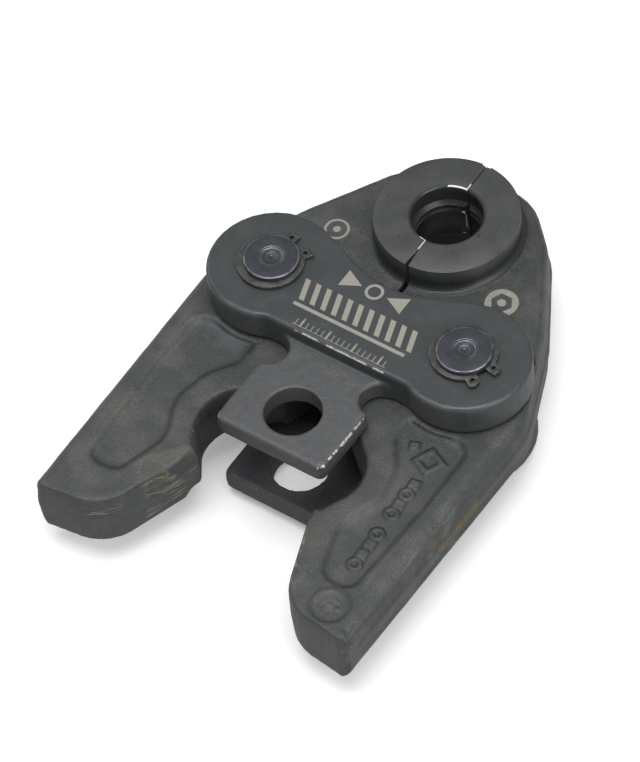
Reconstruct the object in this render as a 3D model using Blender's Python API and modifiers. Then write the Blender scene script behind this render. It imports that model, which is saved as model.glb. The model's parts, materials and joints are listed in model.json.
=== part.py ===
"""A press fitting tool jaw, as a Blender model.

Two forged arms swing on two pivot pins between a pair of T-shaped side plates. Their noses close on each
other round a profiled press bore, and their tails carry the cam faces that a press tool's rollers spread.
A torsion spring between the arms holds the noses shut, and a retaining ring sits on each end of each pin.

All sizes are in metres, with +Z along the pins, +Y towards the nose and +X from the left pin to the right.
Sizes are first given from the point midway between the pins, on the plane half-way between the plates.
The whole model is then shifted so that its origin is under the middle of its box, at its lowest point.
"""

import math

import bmesh
import bpy
from mathutils import Matrix

MM = 0.001

# Gaps between pieces
SEAT_GAP = 0.3 * MM
RUNNING_CLEARANCE = 0.1 * MM

# Outline corners: how much of a wall roundings may take up, and the half angle that counts as no corner
ROUNDED_WALL = 0.98
FLAT_CORNER = math.radians(88)

# Pivot pins
PIN_SPACING = 56.2 * MM
PIN_RADIUS = 6.5 * MM
PIN_PROUD = 2.6 * MM
PIN_EDGE = 0.9 * MM
PIN_CENTRE_RADIUS = 2.7 * MM
PIN_CENTRE_DEPTH = 0.15 * MM
PIN_STEPS = 30

# Retaining rings
RING_THICKNESS = 1.0 * MM
GROOVE_DEPTH = 0.5 * MM
RING_BACK_WIDTH = 2.5 * MM
RING_TIP_WIDTH = 1.7 * MM
LUG_REACH = 3.8 * MM
LUG_WIDTH = 3.0 * MM
LUG_SLOPE = 0.8 * MM
LUG_CORNER = 0.5 * MM
LUG_TIP_CORNER = 0.3 * MM
LUG_INSET = 0.02 * MM
LUG_HOLE_RADIUS = 0.6 * MM
LUG_OPENING = 22.0
LEFT_RING_TURN = 67.0
RIGHT_RING_TURN = -23.0
RING_STEPS = 24

# Side plates
PLATE_GAP = 17.0 * MM
TANG_THICKNESS = 5.7 * MM
UPPER_HEAD_THICKNESS = 9.3 * MM
LOWER_HEAD_THICKNESS = 5.7 * MM
LOBE_RADIUS = 16.4 * MM
HEAD_REAR = 14.4 * MM
FRONT_EDGE_GAP = 8.3 * MM
UPPER_HEAD_EDGE = 0.7 * MM
LOWER_HEAD_EDGE = 2.2 * MM
TANG_WIDTH = 31.6 * MM
TANG_REACH = 44.0 * MM
TANG_CORNER = 2.2 * MM
TANG_EDGE = 1.1 * MM
HOLE_MARGIN = 11.3 * MM
HOLE_RADIUS = 7.1 * MM
NOTCH_RADIUS = 4.6 * MM

# Press bore and the boss round it
DIE_FORWARD = 35.0 * MM
BORE_RADIUS = 9.0 * MM
BOSS_WALL = 9.2 * MM
BOSS_HEIGHT = 33.8 * MM
BOSS_EDGE = 0.4 * MM
BOSS_FILLET = 2.2 * MM
RIB_CREST = 0.55 * MM
RIB_SETTING = 9.2 * MM
RIB_PITCH = 1.9 * MM
GROOVE_RELIEF = 0.4 * MM
BORE_STEPS = 36
BOSS_STEPS = 48
SPLIT_GAP = 0.3 * MM
SPLIT_CHAMFER = 0.7 * MM
SPLIT_NOTCH = 1.1 * MM
RELIEF_GAP = 1.2 * MM
SPLIT_OVERCUT = 2.0 * MM

# Forged arms
NOSE_THICKNESS = 20.4 * MM
NOSE_LIP = 3.4 * MM
NOSE_STEP_GAP = 0.6 * MM
MILLING_MARGIN = 5.0 * MM
NOSE_FLAT = 13.4 * MM
NOSE_DROP = 1.6 * MM
NOSE_ROUNDING = 14.0 * MM
CHEEK_OUT = 5.5 * MM
CHEEK_FORWARD = 9.8 * MM
CHEEK_ROUNDING = 11.0 * MM
SHOULDER_OUT = 8.8 * MM
SHOULDER_FORWARD = 6.4 * MM
SHOULDER_ROUNDING = 30.0 * MM
HIP_ROUNDING = 22.0 * MM
ARM_MARGIN = 3.0 * MM
TAIL_REACH = 79.2 * MM
TAIL_HEEL = 2.4 * MM
TAIL_TAPER = 1.6 * MM
TAIL_END_RADIUS = 11.4 * MM
TAIL_CORNER = 2.6 * MM
TIP_OFFSET = 16.4 * MM
TIP_REACH = 50.0 * MM
TIP_ROUNDING = 1.2 * MM
CAM_LEAN = 20.0
TIP_NECK = 7.1 * MM
RECESS_DEPTH = 5.0 * MM
RECESS_LENGTH = 8.4 * MM
RECESS_RADIUS = 10.0 * MM
WEB_OFFSET = 9.6 * MM
WEB_SETBACK = 9.9 * MM
WEB_ROUNDING = 1.5 * MM
PAD_MARGIN = 0.9 * MM
POCKET_DEPTH = 1.1 * MM
POCKET_DRAFT = 1.5 * MM
POCKET_RIM = 6.8 * MM
POCKET_END_RIM = 12.8 * MM
POCKET_INNER_RIM = 7.8 * MM
POCKET_HEEL_RIM = 7.9 * MM
POCKET_BROW_RIM = 5.8 * MM
POCKET_BROW_SETBACK = 4.0 * MM
POCKET_NECK = 6.1 * MM
POCKET_NECK_LENGTH = 8.0 * MM
POCKET_SETBACK = 15.5 * MM
POCKET_CORNER = 4.6 * MM
POCKET_BEND = 40.0 * MM

# Closing spring
SPRING_WIRE = 1.8 * MM
SPRING_COIL_RADIUS = 3.7 * MM
SPRING_SETBACK = 6.5 * MM
SPRING_TURNS = 7
SPRING_ROOM = 2.6 * MM
BAY_ROUNDING = 3.0 * MM
SPRING_LEG_REACH = 9.0 * MM
SPRING_STEPS = 10

# Places and sizes that follow
PIN_X = PIN_SPACING / 2
PLATE_INNER = PLATE_GAP / 2
TANG_TOP = PLATE_INNER + TANG_THICKNESS
UPPER_HEAD_FACE = PLATE_INNER + UPPER_HEAD_THICKNESS
LOWER_HEAD_FACE = PLATE_INNER + LOWER_HEAD_THICKNESS
PIN_FOOT = LOWER_HEAD_FACE + PIN_PROUD
ARM_FACE = PLATE_INNER - SEAT_GAP
NOSE_FACE = NOSE_THICKNESS / 2
BOSS_RADIUS = BORE_RADIUS + BOSS_WALL
BOSS_TOP = BOSS_HEIGHT / 2
FRONT_EDGE_RADIUS = BOSS_RADIUS + FRONT_EDGE_GAP
NOSE_TIP = DIE_FORWARD + BOSS_RADIUS + NOSE_LIP
ARM_OUTER = PIN_X + LOBE_RADIUS + ARM_MARGIN
HOLE_SETBACK = TANG_REACH - HOLE_MARGIN
RECESS_WALL = TIP_OFFSET + RECESS_DEPTH
RECESS_REAR = TIP_REACH - TIP_NECK
RECESS_FRONT = RECESS_REAR - RECESS_LENGTH
WEB_REACH = RECESS_FRONT - WEB_SETBACK
SPRING_OUTER = SPRING_COIL_RADIUS + SPRING_WIRE / 2
SPRING_BAY = SPRING_OUTER + SPRING_ROOM

# Level heights of a forged arm, with how far the tail's and the nose's walls draw in at each
LEVELS = (
    (0.0, 0.0, 0.0),
    (0.41, 0.4 * MM, 0.3 * MM),
    (0.62, 1.0 * MM, 0.5 * MM),
    (0.75, 2.2 * MM, 0.7 * MM),
    (0.82, 3.8 * MM, 0.9 * MM),
    (0.93, 4.6 * MM, 1.4 * MM),
    (1.0, 5.2 * MM, 2.4 * MM),
)

STEEL = {
    "forged_steel": ((0.085, 0.095, 0.09), 0.55, 0.7),
    "plate_steel": ((0.075, 0.082, 0.09), 0.5, 0.75),
    "pin_steel": ((0.10, 0.12, 0.15), 0.25, 0.95),
    "spring_steel": ((0.16, 0.15, 0.13), 0.35, 0.9),
}


def clear_scene():
    """Remove every object and its mesh from the open file."""
    for obj in list(bpy.data.objects):
        bpy.data.objects.remove(obj, do_unlink=True)
    for mesh in list(bpy.data.meshes):
        bpy.data.meshes.remove(mesh)


def make_collection(name):
    """A new collection under the scene's own."""
    group = bpy.data.collections.new(name)
    bpy.context.scene.collection.children.link(group)
    return group


def make_material(name):
    """A Principled material with the finish listed for this name."""
    colour, roughness, metallic = STEEL[name]
    material = bpy.data.materials.new(name)
    material.use_nodes = True
    shader = material.node_tree.nodes["Principled BSDF"]
    shader.inputs["Base Color"].default_value = (*colour, 1.0)
    shader.inputs["Roughness"].default_value = roughness
    shader.inputs["Metallic"].default_value = metallic
    return material


def add_object(name, mesh, group):
    """An object for this mesh, in this collection."""
    obj = bpy.data.objects.new(name, mesh)
    group.objects.link(obj)
    return obj


def as_tool(obj):
    """Mark a cutter, or a block that is joined to another, as no piece of its own."""
    obj.hide_render = True
    obj.display_type = "WIRE"
    return obj


def mesh_from(bm, name):
    """Store a bmesh as a mesh, with its normals facing out."""
    bmesh.ops.recalc_face_normals(bm, faces=bm.faces)
    mesh = bpy.data.meshes.new(name)
    bm.to_mesh(mesh)
    bm.free()
    return mesh


def arc(centre, radius, start, end, steps):
    """Points along an arc, both ends included, with its angles in degrees."""
    points = []
    for step in range(steps + 1):
        angle = math.radians(start + (end - start) * step / steps)
        points.append((centre[0] + radius * math.cos(angle), centre[1] + radius * math.sin(angle)))
    return points


def corner_opening(before, corner, after):
    """The direction of the wall before a corner, and the angle from it to the wall after."""
    to_before = math.atan2(before[1] - corner[1], before[0] - corner[0])
    to_after = math.atan2(after[1] - corner[1], after[0] - corner[0])
    return to_before, (to_after - to_before) % (2 * math.pi)


def fitting_radii(corners):
    """Each corner's radius, made smaller where its rounding would meet the next one on their wall."""
    count = len(corners)
    reaches = []
    for index, corner in enumerate(corners):
        opening = corner_opening(corners[index - 1], corner, corners[(index + 1) % count])[1]
        half = min(opening, 2 * math.pi - opening) / 2
        reaches.append(corner[2] / math.tan(half) if half < FLAT_CORNER else 0.0)
    shares = [1.0] * count
    for index in range(count):
        after = (index + 1) % count
        wall = math.dist(corners[index][:2], corners[after][:2])
        wanted = reaches[index] + reaches[after]
        if wanted > wall:
            shares[index] = min(shares[index], ROUNDED_WALL * wall / wanted)
            shares[after] = min(shares[after], ROUNDED_WALL * wall / wanted)
    return [corner[2] * share for corner, share in zip(corners, shares)]


def rounded_corners(corners, step_angle=15.0):
    """Turn (x, y, radius, draws) corners into outline points, each with the draws of its wall.

    draws is (tail share, nose share) for the wall that runs on from that corner.
    """
    points = []
    count = len(corners)
    radii = fitting_radii(corners)
    for index, (x, y, _, draws) in enumerate(corners):
        radius = radii[index]
        before = corners[index - 1]
        after = corners[(index + 1) % count]
        came_by = before[3]
        to_before, opening = corner_opening(before, (x, y), after)
        half = min(opening, 2 * math.pi - opening) / 2
        if radius <= 0 or half > FLAT_CORNER:
            points.append((x, y, came_by, draws))
            continue
        tangent = radius / math.tan(half)
        start = (x + tangent * math.cos(to_before), y + tangent * math.sin(to_before))
        middle_angle = to_before + (opening / 2 if opening < math.pi else opening / 2 - math.pi)
        reach = radius / math.sin(half)
        centre = (x + reach * math.cos(middle_angle), y + reach * math.sin(middle_angle))
        turn_start = math.atan2(start[1] - centre[1], start[0] - centre[0])
        sweep = math.pi - 2 * half
        if opening < math.pi:
            sweep = -sweep
        steps = max(2, math.ceil(abs(math.degrees(sweep)) / step_angle))
        for step in range(steps + 1):
            angle = turn_start + sweep * step / steps
            share = step / steps
            blend = tuple(a + (b - a) * share for a, b in zip(came_by, draws))
            place = (centre[0] + radius * math.cos(angle), centre[1] + radius * math.sin(angle))
            points.append((*place, blend, blend))
    return points


def flat_outline(corners, step_angle=15.0):
    """Outline points of (x, y, radius) corners."""
    full = rounded_corners([(x, y, radius, (0.0, 0.0)) for x, y, radius in corners], step_angle)
    return [(point[0], point[1]) for point in full]


def slab(name, outline, low, high):
    """A flat block between two heights, from its outline."""
    bm = bmesh.new()
    face = bm.faces.new([bm.verts.new((x, y, low)) for x, y in outline])
    raised = bmesh.ops.extrude_face_region(bm, geom=[face])["geom"]
    top = [item for item in raised if isinstance(item, bmesh.types.BMVert)]
    bmesh.ops.translate(bm, vec=(0, 0, high - low), verts=top)
    return mesh_from(bm, name)


def drawn_in(point, before, after, inset):
    """Where an outline point goes when the walls on its two sides draw in."""
    walls = []
    for (x0, y0), (x1, y1), draws in (
        (before[:2], point[:2], point[2]),
        (point[:2], after[:2], point[3]),
    ):
        length = math.hypot(x1 - x0, y1 - y0)
        normal = ((y1 - y0) / length, -(x1 - x0) / length)
        walls.append((normal, inset(draws)))
    (first, a), (second, b) = walls
    turn = first[0] * second[1] - first[1] * second[0]
    if abs(turn) > 0.4:
        move = ((a * second[1] - b * first[1]) / turn, (b * first[0] - a * second[0]) / turn)
    else:
        middle = (first[0] + second[0], first[1] + second[1])
        length = math.hypot(*middle)
        move = tuple(axis / length * (a + b) / 2 for axis in middle)
    return point[0] + move[0], point[1] + move[1]


def drawn_outline(outline, inset):
    """A whole outline with its walls drawn in."""
    count = len(outline)
    return [
        drawn_in(point, outline[index - 1], outline[(index + 1) % count], inset)
        for index, point in enumerate(outline)
    ]


def forged_block(name, outline, half_height):
    """A block whose walls bulge at its parting plane and draw in towards its two faces.

    outline runs clockwise seen from above, so that its wall normals point inwards.
    """
    rings = []
    sections = [(-share, tail, nose) for share, tail, nose in LEVELS[:0:-1]] + list(LEVELS)
    for share, tail, nose in sections:

        def inset(draws, tail=tail, nose=nose):
            return draws[0] * tail + draws[1] * nose

        rings.append([(*place, share * half_height) for place in drawn_outline(outline, inset)])
    return lofted(name, rings)


def lofted(name, rings):
    """A block through level rings of points, walled in triangles since its walls may twist."""
    bm = bmesh.new()
    levels = [[bm.verts.new(place) for place in ring] for ring in rings]
    count = len(levels[0])
    for lower, upper in zip(levels, levels[1:]):
        for index in range(count):
            after = (index + 1) % count
            bm.faces.new((lower[index], lower[after], upper[after]))
            bm.faces.new((lower[index], upper[after], upper[index]))
    bm.faces.new(levels[0])
    bm.faces.new(levels[-1])
    return mesh_from(bm, name)


def turned(name, profile, steps, centre=(0.0, 0.0)):
    """A solid of revolution about Z from (radius, height) points that start and end on the axis."""
    bm = bmesh.new()
    verts = [bm.verts.new((radius, 0, height)) for radius, height in profile]
    edges = [bm.edges.new(pair) for pair in zip(verts, verts[1:])]
    bmesh.ops.spin(
        bm,
        geom=verts + edges,
        cent=(0, 0, 0),
        axis=(0, 0, 1),
        angle=2 * math.pi,
        steps=steps,
        use_merge=True,
    )
    bmesh.ops.remove_doubles(bm, verts=bm.verts, dist=0.001 * MM)
    bmesh.ops.translate(bm, vec=(centre[0], centre[1], 0), verts=bm.verts)
    return mesh_from(bm, name)


def cylinder(name, centre, radius, low, high, steps):
    """An upright cylinder."""
    return turned(name, [(0, high), (radius, high), (radius, low), (0, low)], steps, centre)


def boolean(target, tool, operation):
    """Cut, join or intersect with another object, by the exact solver."""
    modifier = target.modifiers.new(tool.name, "BOOLEAN")
    modifier.operation = operation
    modifier.object = tool
    modifier.solver = "EXACT"


def bevel(target, width, segments, angle=40.0):
    """Round the sharp edges of an object."""
    modifier = target.modifiers.new("edges", "BEVEL")
    modifier.width = width
    modifier.segments = segments
    modifier.limit_method = "ANGLE"
    modifier.angle_limit = math.radians(angle)
    modifier.harden_normals = False


def baked(obj, name):
    """The finished mesh of an object, with its modifiers applied and flat-lying faces kept sharp."""
    graph = bpy.context.evaluated_depsgraph_get()
    mesh = bpy.data.meshes.new_from_object(obj.evaluated_get(graph))
    mesh.name = name
    mesh.shade_smooth()
    mesh.set_sharp_from_angle(angle=math.radians(35))
    return mesh


def tangent_points(extra):
    """Where the straight run between the front arc and a lobe starts and ends, as angles and points.

    extra grows the plate's outline all round, as for the step of the nose that faces it.
    """
    front = FRONT_EDGE_RADIUS - extra
    lobe = LOBE_RADIUS + extra
    distance = math.hypot(PIN_X, DIE_FORWARD)
    towards_pin = math.degrees(math.atan2(-DIE_FORWARD, PIN_X))
    swing = math.degrees(math.acos(min(1.0, (front + lobe) / distance)))
    return front, lobe, towards_pin - swing, towards_pin + 180 - swing


def head_right_half(extra):
    """The plate head's outline from the middle of its front edge to the right lobe's rear end."""
    front, lobe, front_angle, lobe_angle = tangent_points(extra)
    rear = math.degrees(math.asin(max(-1.0, -(HEAD_REAR + extra) / lobe)))
    points = arc((0, DIE_FORWARD), front, -90, front_angle, 5)
    points += arc((PIN_X, 0), lobe, lobe_angle, -180 - rear, 22)
    return points


def head_outline():
    """The whole outline of a plate's head, clockwise from the middle of its front edge."""
    right = head_right_half(0.0)
    left = [(-x, y) for x, y in reversed(right[1:])]
    return right + left


def build_plate(tools, material, head_face, edge):
    """The mesh of a side plate, facing up: a head over the pins and a tang behind it."""
    plate = add_object("plate_head", slab("plate_head", head_outline(), PLATE_INNER, head_face), tools)
    plate.data.materials.append(material)
    as_tool(plate)
    bevel(plate, edge, 2)
    half = TANG_WIDTH / 2
    inside_head = -HEAD_REAR + NOTCH_RADIUS
    corners = [
        (-half, inside_head, 0.0),
        (half, inside_head, 0.0),
        (half, -TANG_REACH, TANG_CORNER),
        (-half, -TANG_REACH, TANG_CORNER),
    ]
    tang_mesh = slab("tang", flat_outline(corners), PLATE_INNER, TANG_TOP)
    tang = as_tool(add_object("tang", tang_mesh, tools))
    bevel(tang, TANG_EDGE, 2)
    boolean(plate, tang, "UNION")
    reach = head_face + SEAT_GAP
    for side in (-1, 1):
        centre = (side * half, -HEAD_REAR - NOTCH_RADIUS - SEAT_GAP)
        notch = cylinder("notch", centre, NOTCH_RADIUS, 0, reach, 28)
        boolean(plate, as_tool(add_object("notch", notch, tools)), "DIFFERENCE")
        bore = cylinder("pin_bore", (side * PIN_X, 0), PIN_RADIUS + RUNNING_CLEARANCE, 0, reach, PIN_STEPS)
        boolean(plate, as_tool(add_object("pin_bore", bore, tools)), "DIFFERENCE")
    hole = cylinder("mounting_hole", (0, -HOLE_SETBACK), HOLE_RADIUS, 0, reach, 40)
    boolean(plate, as_tool(add_object("mounting_hole", hole, tools)), "DIFFERENCE")
    return baked(plate, "side_plate")


def arm_corners():
    """Corners of the right arm's outline at its parting plane, clockwise from the split at the nose."""
    forged_nose = (0.0, 1.0)
    forged_tail = (1.0, 0.0)
    ground = (0.1, 0.1)
    sawn = (0.0, 0.0)
    inner = (0.45, 0.1)
    lean = math.tan(math.radians(CAM_LEAN))
    end = TAIL_REACH - TAIL_HEEL
    leg_end = SPRING_SETBACK + SPRING_LEG_REACH + SPRING_WIRE
    return [
        (-SPLIT_OVERCUT, NOSE_TIP, 0.0, forged_nose),
        (SPLIT_OVERCUT, NOSE_TIP, 0.0, forged_nose),
        (NOSE_FLAT, NOSE_TIP - NOSE_DROP, NOSE_ROUNDING, forged_nose),
        (BOSS_RADIUS + CHEEK_OUT, DIE_FORWARD + CHEEK_FORWARD, CHEEK_ROUNDING, forged_nose),
        (PIN_X + SHOULDER_OUT, LOBE_RADIUS + SHOULDER_FORWARD, SHOULDER_ROUNDING, forged_nose),
        (ARM_OUTER, -ARM_MARGIN, HIP_ROUNDING, forged_tail),
        (ARM_OUTER - TAIL_TAPER, -TAIL_REACH, TAIL_CORNER, ground),
        (TIP_OFFSET + (end - TIP_REACH) * lean, -end, TAIL_END_RADIUS, ground),
        (TIP_OFFSET, -TIP_REACH, TIP_ROUNDING, inner),
        (RECESS_WALL, -RECESS_REAR, RECESS_RADIUS, inner),
        (RECESS_WALL, -RECESS_FRONT, RECESS_RADIUS, inner),
        (WEB_OFFSET, -WEB_REACH, WEB_ROUNDING, sawn),
        (SPRING_BAY, -leg_end, BAY_ROUNDING, sawn),
        (SPRING_BAY, -SPRING_SETBACK + SPRING_BAY, BAY_ROUNDING, sawn),
        (-SPLIT_OVERCUT, -SPRING_SETBACK + SPRING_BAY, 0.0, sawn),
    ]


def boss_profile():
    """Half-section of the die boss, with a fillet where it stands on the nose."""
    points = [(0, BOSS_TOP), (BOSS_RADIUS - BOSS_EDGE, BOSS_TOP), (BOSS_RADIUS, BOSS_TOP - BOSS_EDGE)]
    centre = (BOSS_RADIUS + BOSS_FILLET, NOSE_FACE + BOSS_FILLET)
    points += arc(centre, BOSS_FILLET, 180, 255, 4)
    foot = points[-1][0]
    return points + [(foot, 0)]


def flipped(upper):
    """A half-section's lower half, from its upper half."""
    return [(radius, -height) for radius, height in reversed(upper) if height > 0]


def bore_profile():
    """Half-section of the press bore: a pair of ribs and their grooves at each end of a plain middle."""
    crest = BORE_RADIUS - RIB_CREST
    groove = BORE_RADIUS + GROOVE_RELIEF
    top = BOSS_TOP + SEAT_GAP
    entry = (BOSS_TOP + RIB_SETTING) / 2 + RIB_PITCH
    upper_rib = RIB_SETTING + RIB_PITCH / 2
    lower_rib = RIB_SETTING - RIB_PITCH / 2
    flank = RIB_PITCH / 3
    middle = RIB_PITCH
    points = [(0, top), (BORE_RADIUS + BOSS_EDGE + SEAT_GAP, top), (BORE_RADIUS, BOSS_TOP - BOSS_EDGE)]
    points += [(BORE_RADIUS, entry), (groove, entry - BOSS_EDGE), (groove, upper_rib + 2 * flank)]
    points += [(crest, upper_rib + flank / 2), (crest, upper_rib - flank / 3)]
    points += [(BORE_RADIUS, RIB_SETTING)]
    points += [(crest, lower_rib + flank / 3), (crest, lower_rib - flank / 2)]
    points += [(BORE_RADIUS, lower_rib - 2 * flank), (BORE_RADIUS, middle + BOSS_EDGE), (groove, middle)]
    return points


def pocket_corners():
    """Corners of the shallow forged pocket in the right tail, whose inner wall follows the recess."""
    outer = ARM_OUTER - POCKET_RIM
    neck = PIN_X - POCKET_NECK
    waist = RECESS_WALL + POCKET_INNER_RIM
    middle = (RECESS_REAR + RECESS_FRONT) / 2
    end = TAIL_REACH - POCKET_END_RIM
    return [
        (neck, -POCKET_SETBACK, POCKET_CORNER / 2),
        (outer, -POCKET_SETBACK, POCKET_CORNER),
        (outer, -RECESS_FRONT, POCKET_BEND),
        (outer - TAIL_TAPER, -end, POCKET_CORNER),
        (waist, -end, POCKET_CORNER),
        (TIP_OFFSET + POCKET_HEEL_RIM, -TIP_REACH - POCKET_DRAFT, 2 * POCKET_CORNER),
        (waist, -middle - POCKET_DRAFT, 2 * POCKET_CORNER),
        (RECESS_WALL + POCKET_BROW_RIM, -RECESS_FRONT + POCKET_BROW_SETBACK, 2 * POCKET_CORNER),
        (neck, -POCKET_SETBACK - POCKET_NECK_LENGTH, POCKET_CORNER),
    ]


def pocket_cutter(name):
    """A shallow block with drafted walls, as deep as the pocket at its floor."""
    outline = [(x, y, (0, 0), (0, 0)) for x, y in flat_outline(pocket_corners())]
    rings = []
    for height, inset in ((-POCKET_DEPTH, POCKET_DRAFT), (0.0, 0.0), (NOSE_FACE - ARM_FACE, 0.0)):
        drawn = drawn_outline(outline, lambda draws, inset=inset: inset)
        rings.append([(*place, height) for place in drawn])
    return lofted(name, rings)


def split_outline():
    """What parts the right arm from the left: a fine split through the boss, chamfered at the bore."""
    split = SPLIT_GAP / 2
    chamfered = split + 2 * SPLIT_CHAMFER
    bore_front = DIE_FORWARD + BORE_RADIUS
    bore_rear = DIE_FORWARD - BORE_RADIUS
    far = -2 * BOSS_RADIUS
    ahead = NOSE_TIP + SPLIT_OVERCUT
    behind = -SPRING_SETBACK
    return [
        (far, ahead),
        (split + SPLIT_NOTCH, ahead),
        (split + SPLIT_NOTCH, DIE_FORWARD + BOSS_RADIUS - SPLIT_NOTCH / 4),
        (split, DIE_FORWARD + BOSS_RADIUS - SPLIT_NOTCH),
        (split, bore_front + SPLIT_CHAMFER),
        (chamfered, bore_front - SPLIT_CHAMFER),
        (chamfered, bore_rear + SPLIT_CHAMFER),
        (split, bore_rear - SPLIT_CHAMFER),
        (split, bore_rear - BOSS_WALL / 2),
        (RELIEF_GAP / 2, DIE_FORWARD - BOSS_RADIUS),
        (RELIEF_GAP / 2, behind),
        (far, behind),
    ]


def milled_outline():
    """Outline of the flat that is milled for the plates, from their front edge back past the tail."""
    front = head_right_half(NOSE_STEP_GAP)
    ahead = [point for point in front if point[1] > 0]
    inner = -MILLING_MARGIN
    outer = ARM_OUTER + MILLING_MARGIN
    rear = -TAIL_REACH - MILLING_MARGIN
    return [(inner, front[0][1])] + ahead + [(outer, ahead[-1][1]), (outer, rear), (inner, rear)]


def build_arm(tools, material):
    """The mesh of the right arm. The left one is the same forging turned over."""
    outline = rounded_corners(arm_corners())
    arm = add_object("arm_blank", forged_block("arm_blank", outline, NOSE_FACE), tools)
    arm.data.materials.append(material)
    as_tool(arm)
    for face in (-1, 1):
        low, high = sorted((face * ARM_FACE, face * (NOSE_FACE + SEAT_GAP)))
        milled = slab("milled_flat", milled_outline(), low, high)
        boolean(arm, as_tool(add_object("milled_flat", milled, tools)), "DIFFERENCE")
        pocket = as_tool(add_object("pocket", pocket_cutter("pocket"), tools))
        pad_mesh = cylinder("pad", (PIN_X, 0), LOBE_RADIUS + PAD_MARGIN, -NOSE_FACE, NOSE_FACE, 48)
        boolean(pocket, as_tool(add_object("pad", pad_mesh, tools)), "DIFFERENCE")
        pocket_mesh = baked(pocket, "pocket_cut")
        if face < 0:
            pocket_mesh.transform(Matrix.Diagonal((1, 1, -1, 1)))
            pocket_mesh.flip_normals()
        pocket_mesh.transform(Matrix.Translation((0, 0, face * ARM_FACE)))
        boolean(arm, as_tool(add_object("pocket_cut", pocket_mesh, tools)), "DIFFERENCE")
    boss_mesh = turned("boss", boss_profile() + flipped(boss_profile()), BOSS_STEPS)
    boss = as_tool(add_object("boss", boss_mesh, tools))
    boss.location = (0, DIE_FORWARD, 0)
    boolean(arm, boss, "UNION")
    split = slab("split", split_outline(), -BOSS_HEIGHT, BOSS_HEIGHT)
    boolean(arm, as_tool(add_object("split", split, tools)), "DIFFERENCE")
    bore_mesh = turned("press_bore", bore_profile() + flipped(bore_profile()), BORE_STEPS)
    bore = as_tool(add_object("press_bore", bore_mesh, tools))
    bore.location = (0, DIE_FORWARD, 0)
    boolean(arm, bore, "DIFFERENCE")
    bore_radius = PIN_RADIUS + RUNNING_CLEARANCE
    pivot = cylinder("pivot_bore", (PIN_X, 0), bore_radius, -BOSS_HEIGHT, BOSS_HEIGHT, PIN_STEPS)
    boolean(arm, as_tool(add_object("pivot_bore", pivot, tools)), "DIFFERENCE")
    return baked(arm, "jaw_arm")


def pin_end_profile(head_face):
    """Half-section of one end of a pivot pin: the turned end face, the edge and the ring groove."""
    end = head_face + PIN_PROUD
    groove_end = head_face + RING_THICKNESS + 2 * SEAT_GAP
    groove_radius = PIN_RADIUS - GROOVE_DEPTH
    return [
        (0, end - PIN_CENTRE_DEPTH),
        (PIN_CENTRE_RADIUS, end - PIN_CENTRE_DEPTH),
        (PIN_CENTRE_RADIUS + PIN_CENTRE_DEPTH, end),
        (PIN_RADIUS - PIN_EDGE, end),
        (PIN_RADIUS, end - PIN_EDGE),
        (PIN_RADIUS, groove_end),
        (groove_radius, groove_end),
        (groove_radius, head_face),
        (PIN_RADIUS, head_face),
    ]


def pin_profile():
    """Half-section of a whole pivot pin, top to bottom."""
    return pin_end_profile(UPPER_HEAD_FACE) + flipped(pin_end_profile(LOWER_HEAD_FACE))


def build_ring(tools, material):
    """The mesh of a retaining ring that opens towards +X, lying on Z = 0."""
    inner = PIN_RADIUS - GROOVE_DEPTH + SEAT_GAP
    half_opening = LUG_OPENING / 2
    outside = []
    inside = []
    for step in range(RING_STEPS + 1):
        angle = half_opening + (360 - 2 * half_opening) * step / RING_STEPS
        from_back = (1 + math.cos(math.radians(angle))) / 2
        width = RING_BACK_WIDTH + (RING_TIP_WIDTH - RING_BACK_WIDTH) * from_back
        outside += arc((0, 0), inner + width, angle, angle, 1)[:1]
        inside += arc((0, 0), inner, angle, angle, 1)[:1]
    ring = add_object("ring_band", slab("ring_band", outside + inside[::-1], 0, RING_THICKNESS), tools)
    ring.data.materials.append(material)
    as_tool(ring)
    for side in (-1, 1):
        turn = Matrix.Rotation(math.radians(side * half_opening), 4, "Z")
        low, high = sorted((0.0, side * LUG_WIDTH))
        lug_reach = inner + LUG_REACH
        corners = [
            (inner, low, 0.0),
            (inner, high, 0.0),
            (lug_reach - LUG_SLOPE, high, LUG_CORNER),
            (lug_reach, (low + high) / 2, LUG_CORNER),
            (lug_reach - LUG_TIP_CORNER, low, LUG_TIP_CORNER),
        ]
        lug_mesh = slab("ring_lug", flat_outline(corners), LUG_INSET, RING_THICKNESS - LUG_INSET)
        lug_mesh.transform(turn)
        boolean(ring, as_tool(add_object("ring_lug", lug_mesh, tools)), "UNION")
        hole_centre = (inner + 0.5 * LUG_REACH, side * LUG_WIDTH / 2)
        hole_mesh = cylinder("lug_hole", hole_centre, LUG_HOLE_RADIUS, -SEAT_GAP, 2 * RING_THICKNESS, 12)
        hole_mesh.transform(turn)
        boolean(ring, as_tool(add_object("lug_hole", hole_mesh, tools)), "DIFFERENCE")
    return baked(ring, "retaining_ring")


def spring_path():
    """The torsion spring's centre line: a leg, a close coil and a leg, between the two arms."""
    high = ARM_FACE - SPRING_WIRE / 2 - SEAT_GAP
    leg_x = SPRING_BAY - SPRING_WIRE / 2 - SEAT_GAP
    leg_y = -SPRING_SETBACK - SPRING_LEG_REACH
    turns = SPRING_TURNS - 0.5
    total = round(turns * SPRING_STEPS)
    points = [(-leg_x, leg_y, -high)]
    for step in range(total + 1):
        angle = math.pi - 2 * math.pi * turns * step / total
        x = SPRING_COIL_RADIUS * math.cos(angle)
        y = SPRING_COIL_RADIUS * math.sin(angle) - SPRING_SETBACK
        points.append((x, y, high * (2 * step / total - 1)))
    points.append((leg_x, leg_y, high))
    return points


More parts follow.
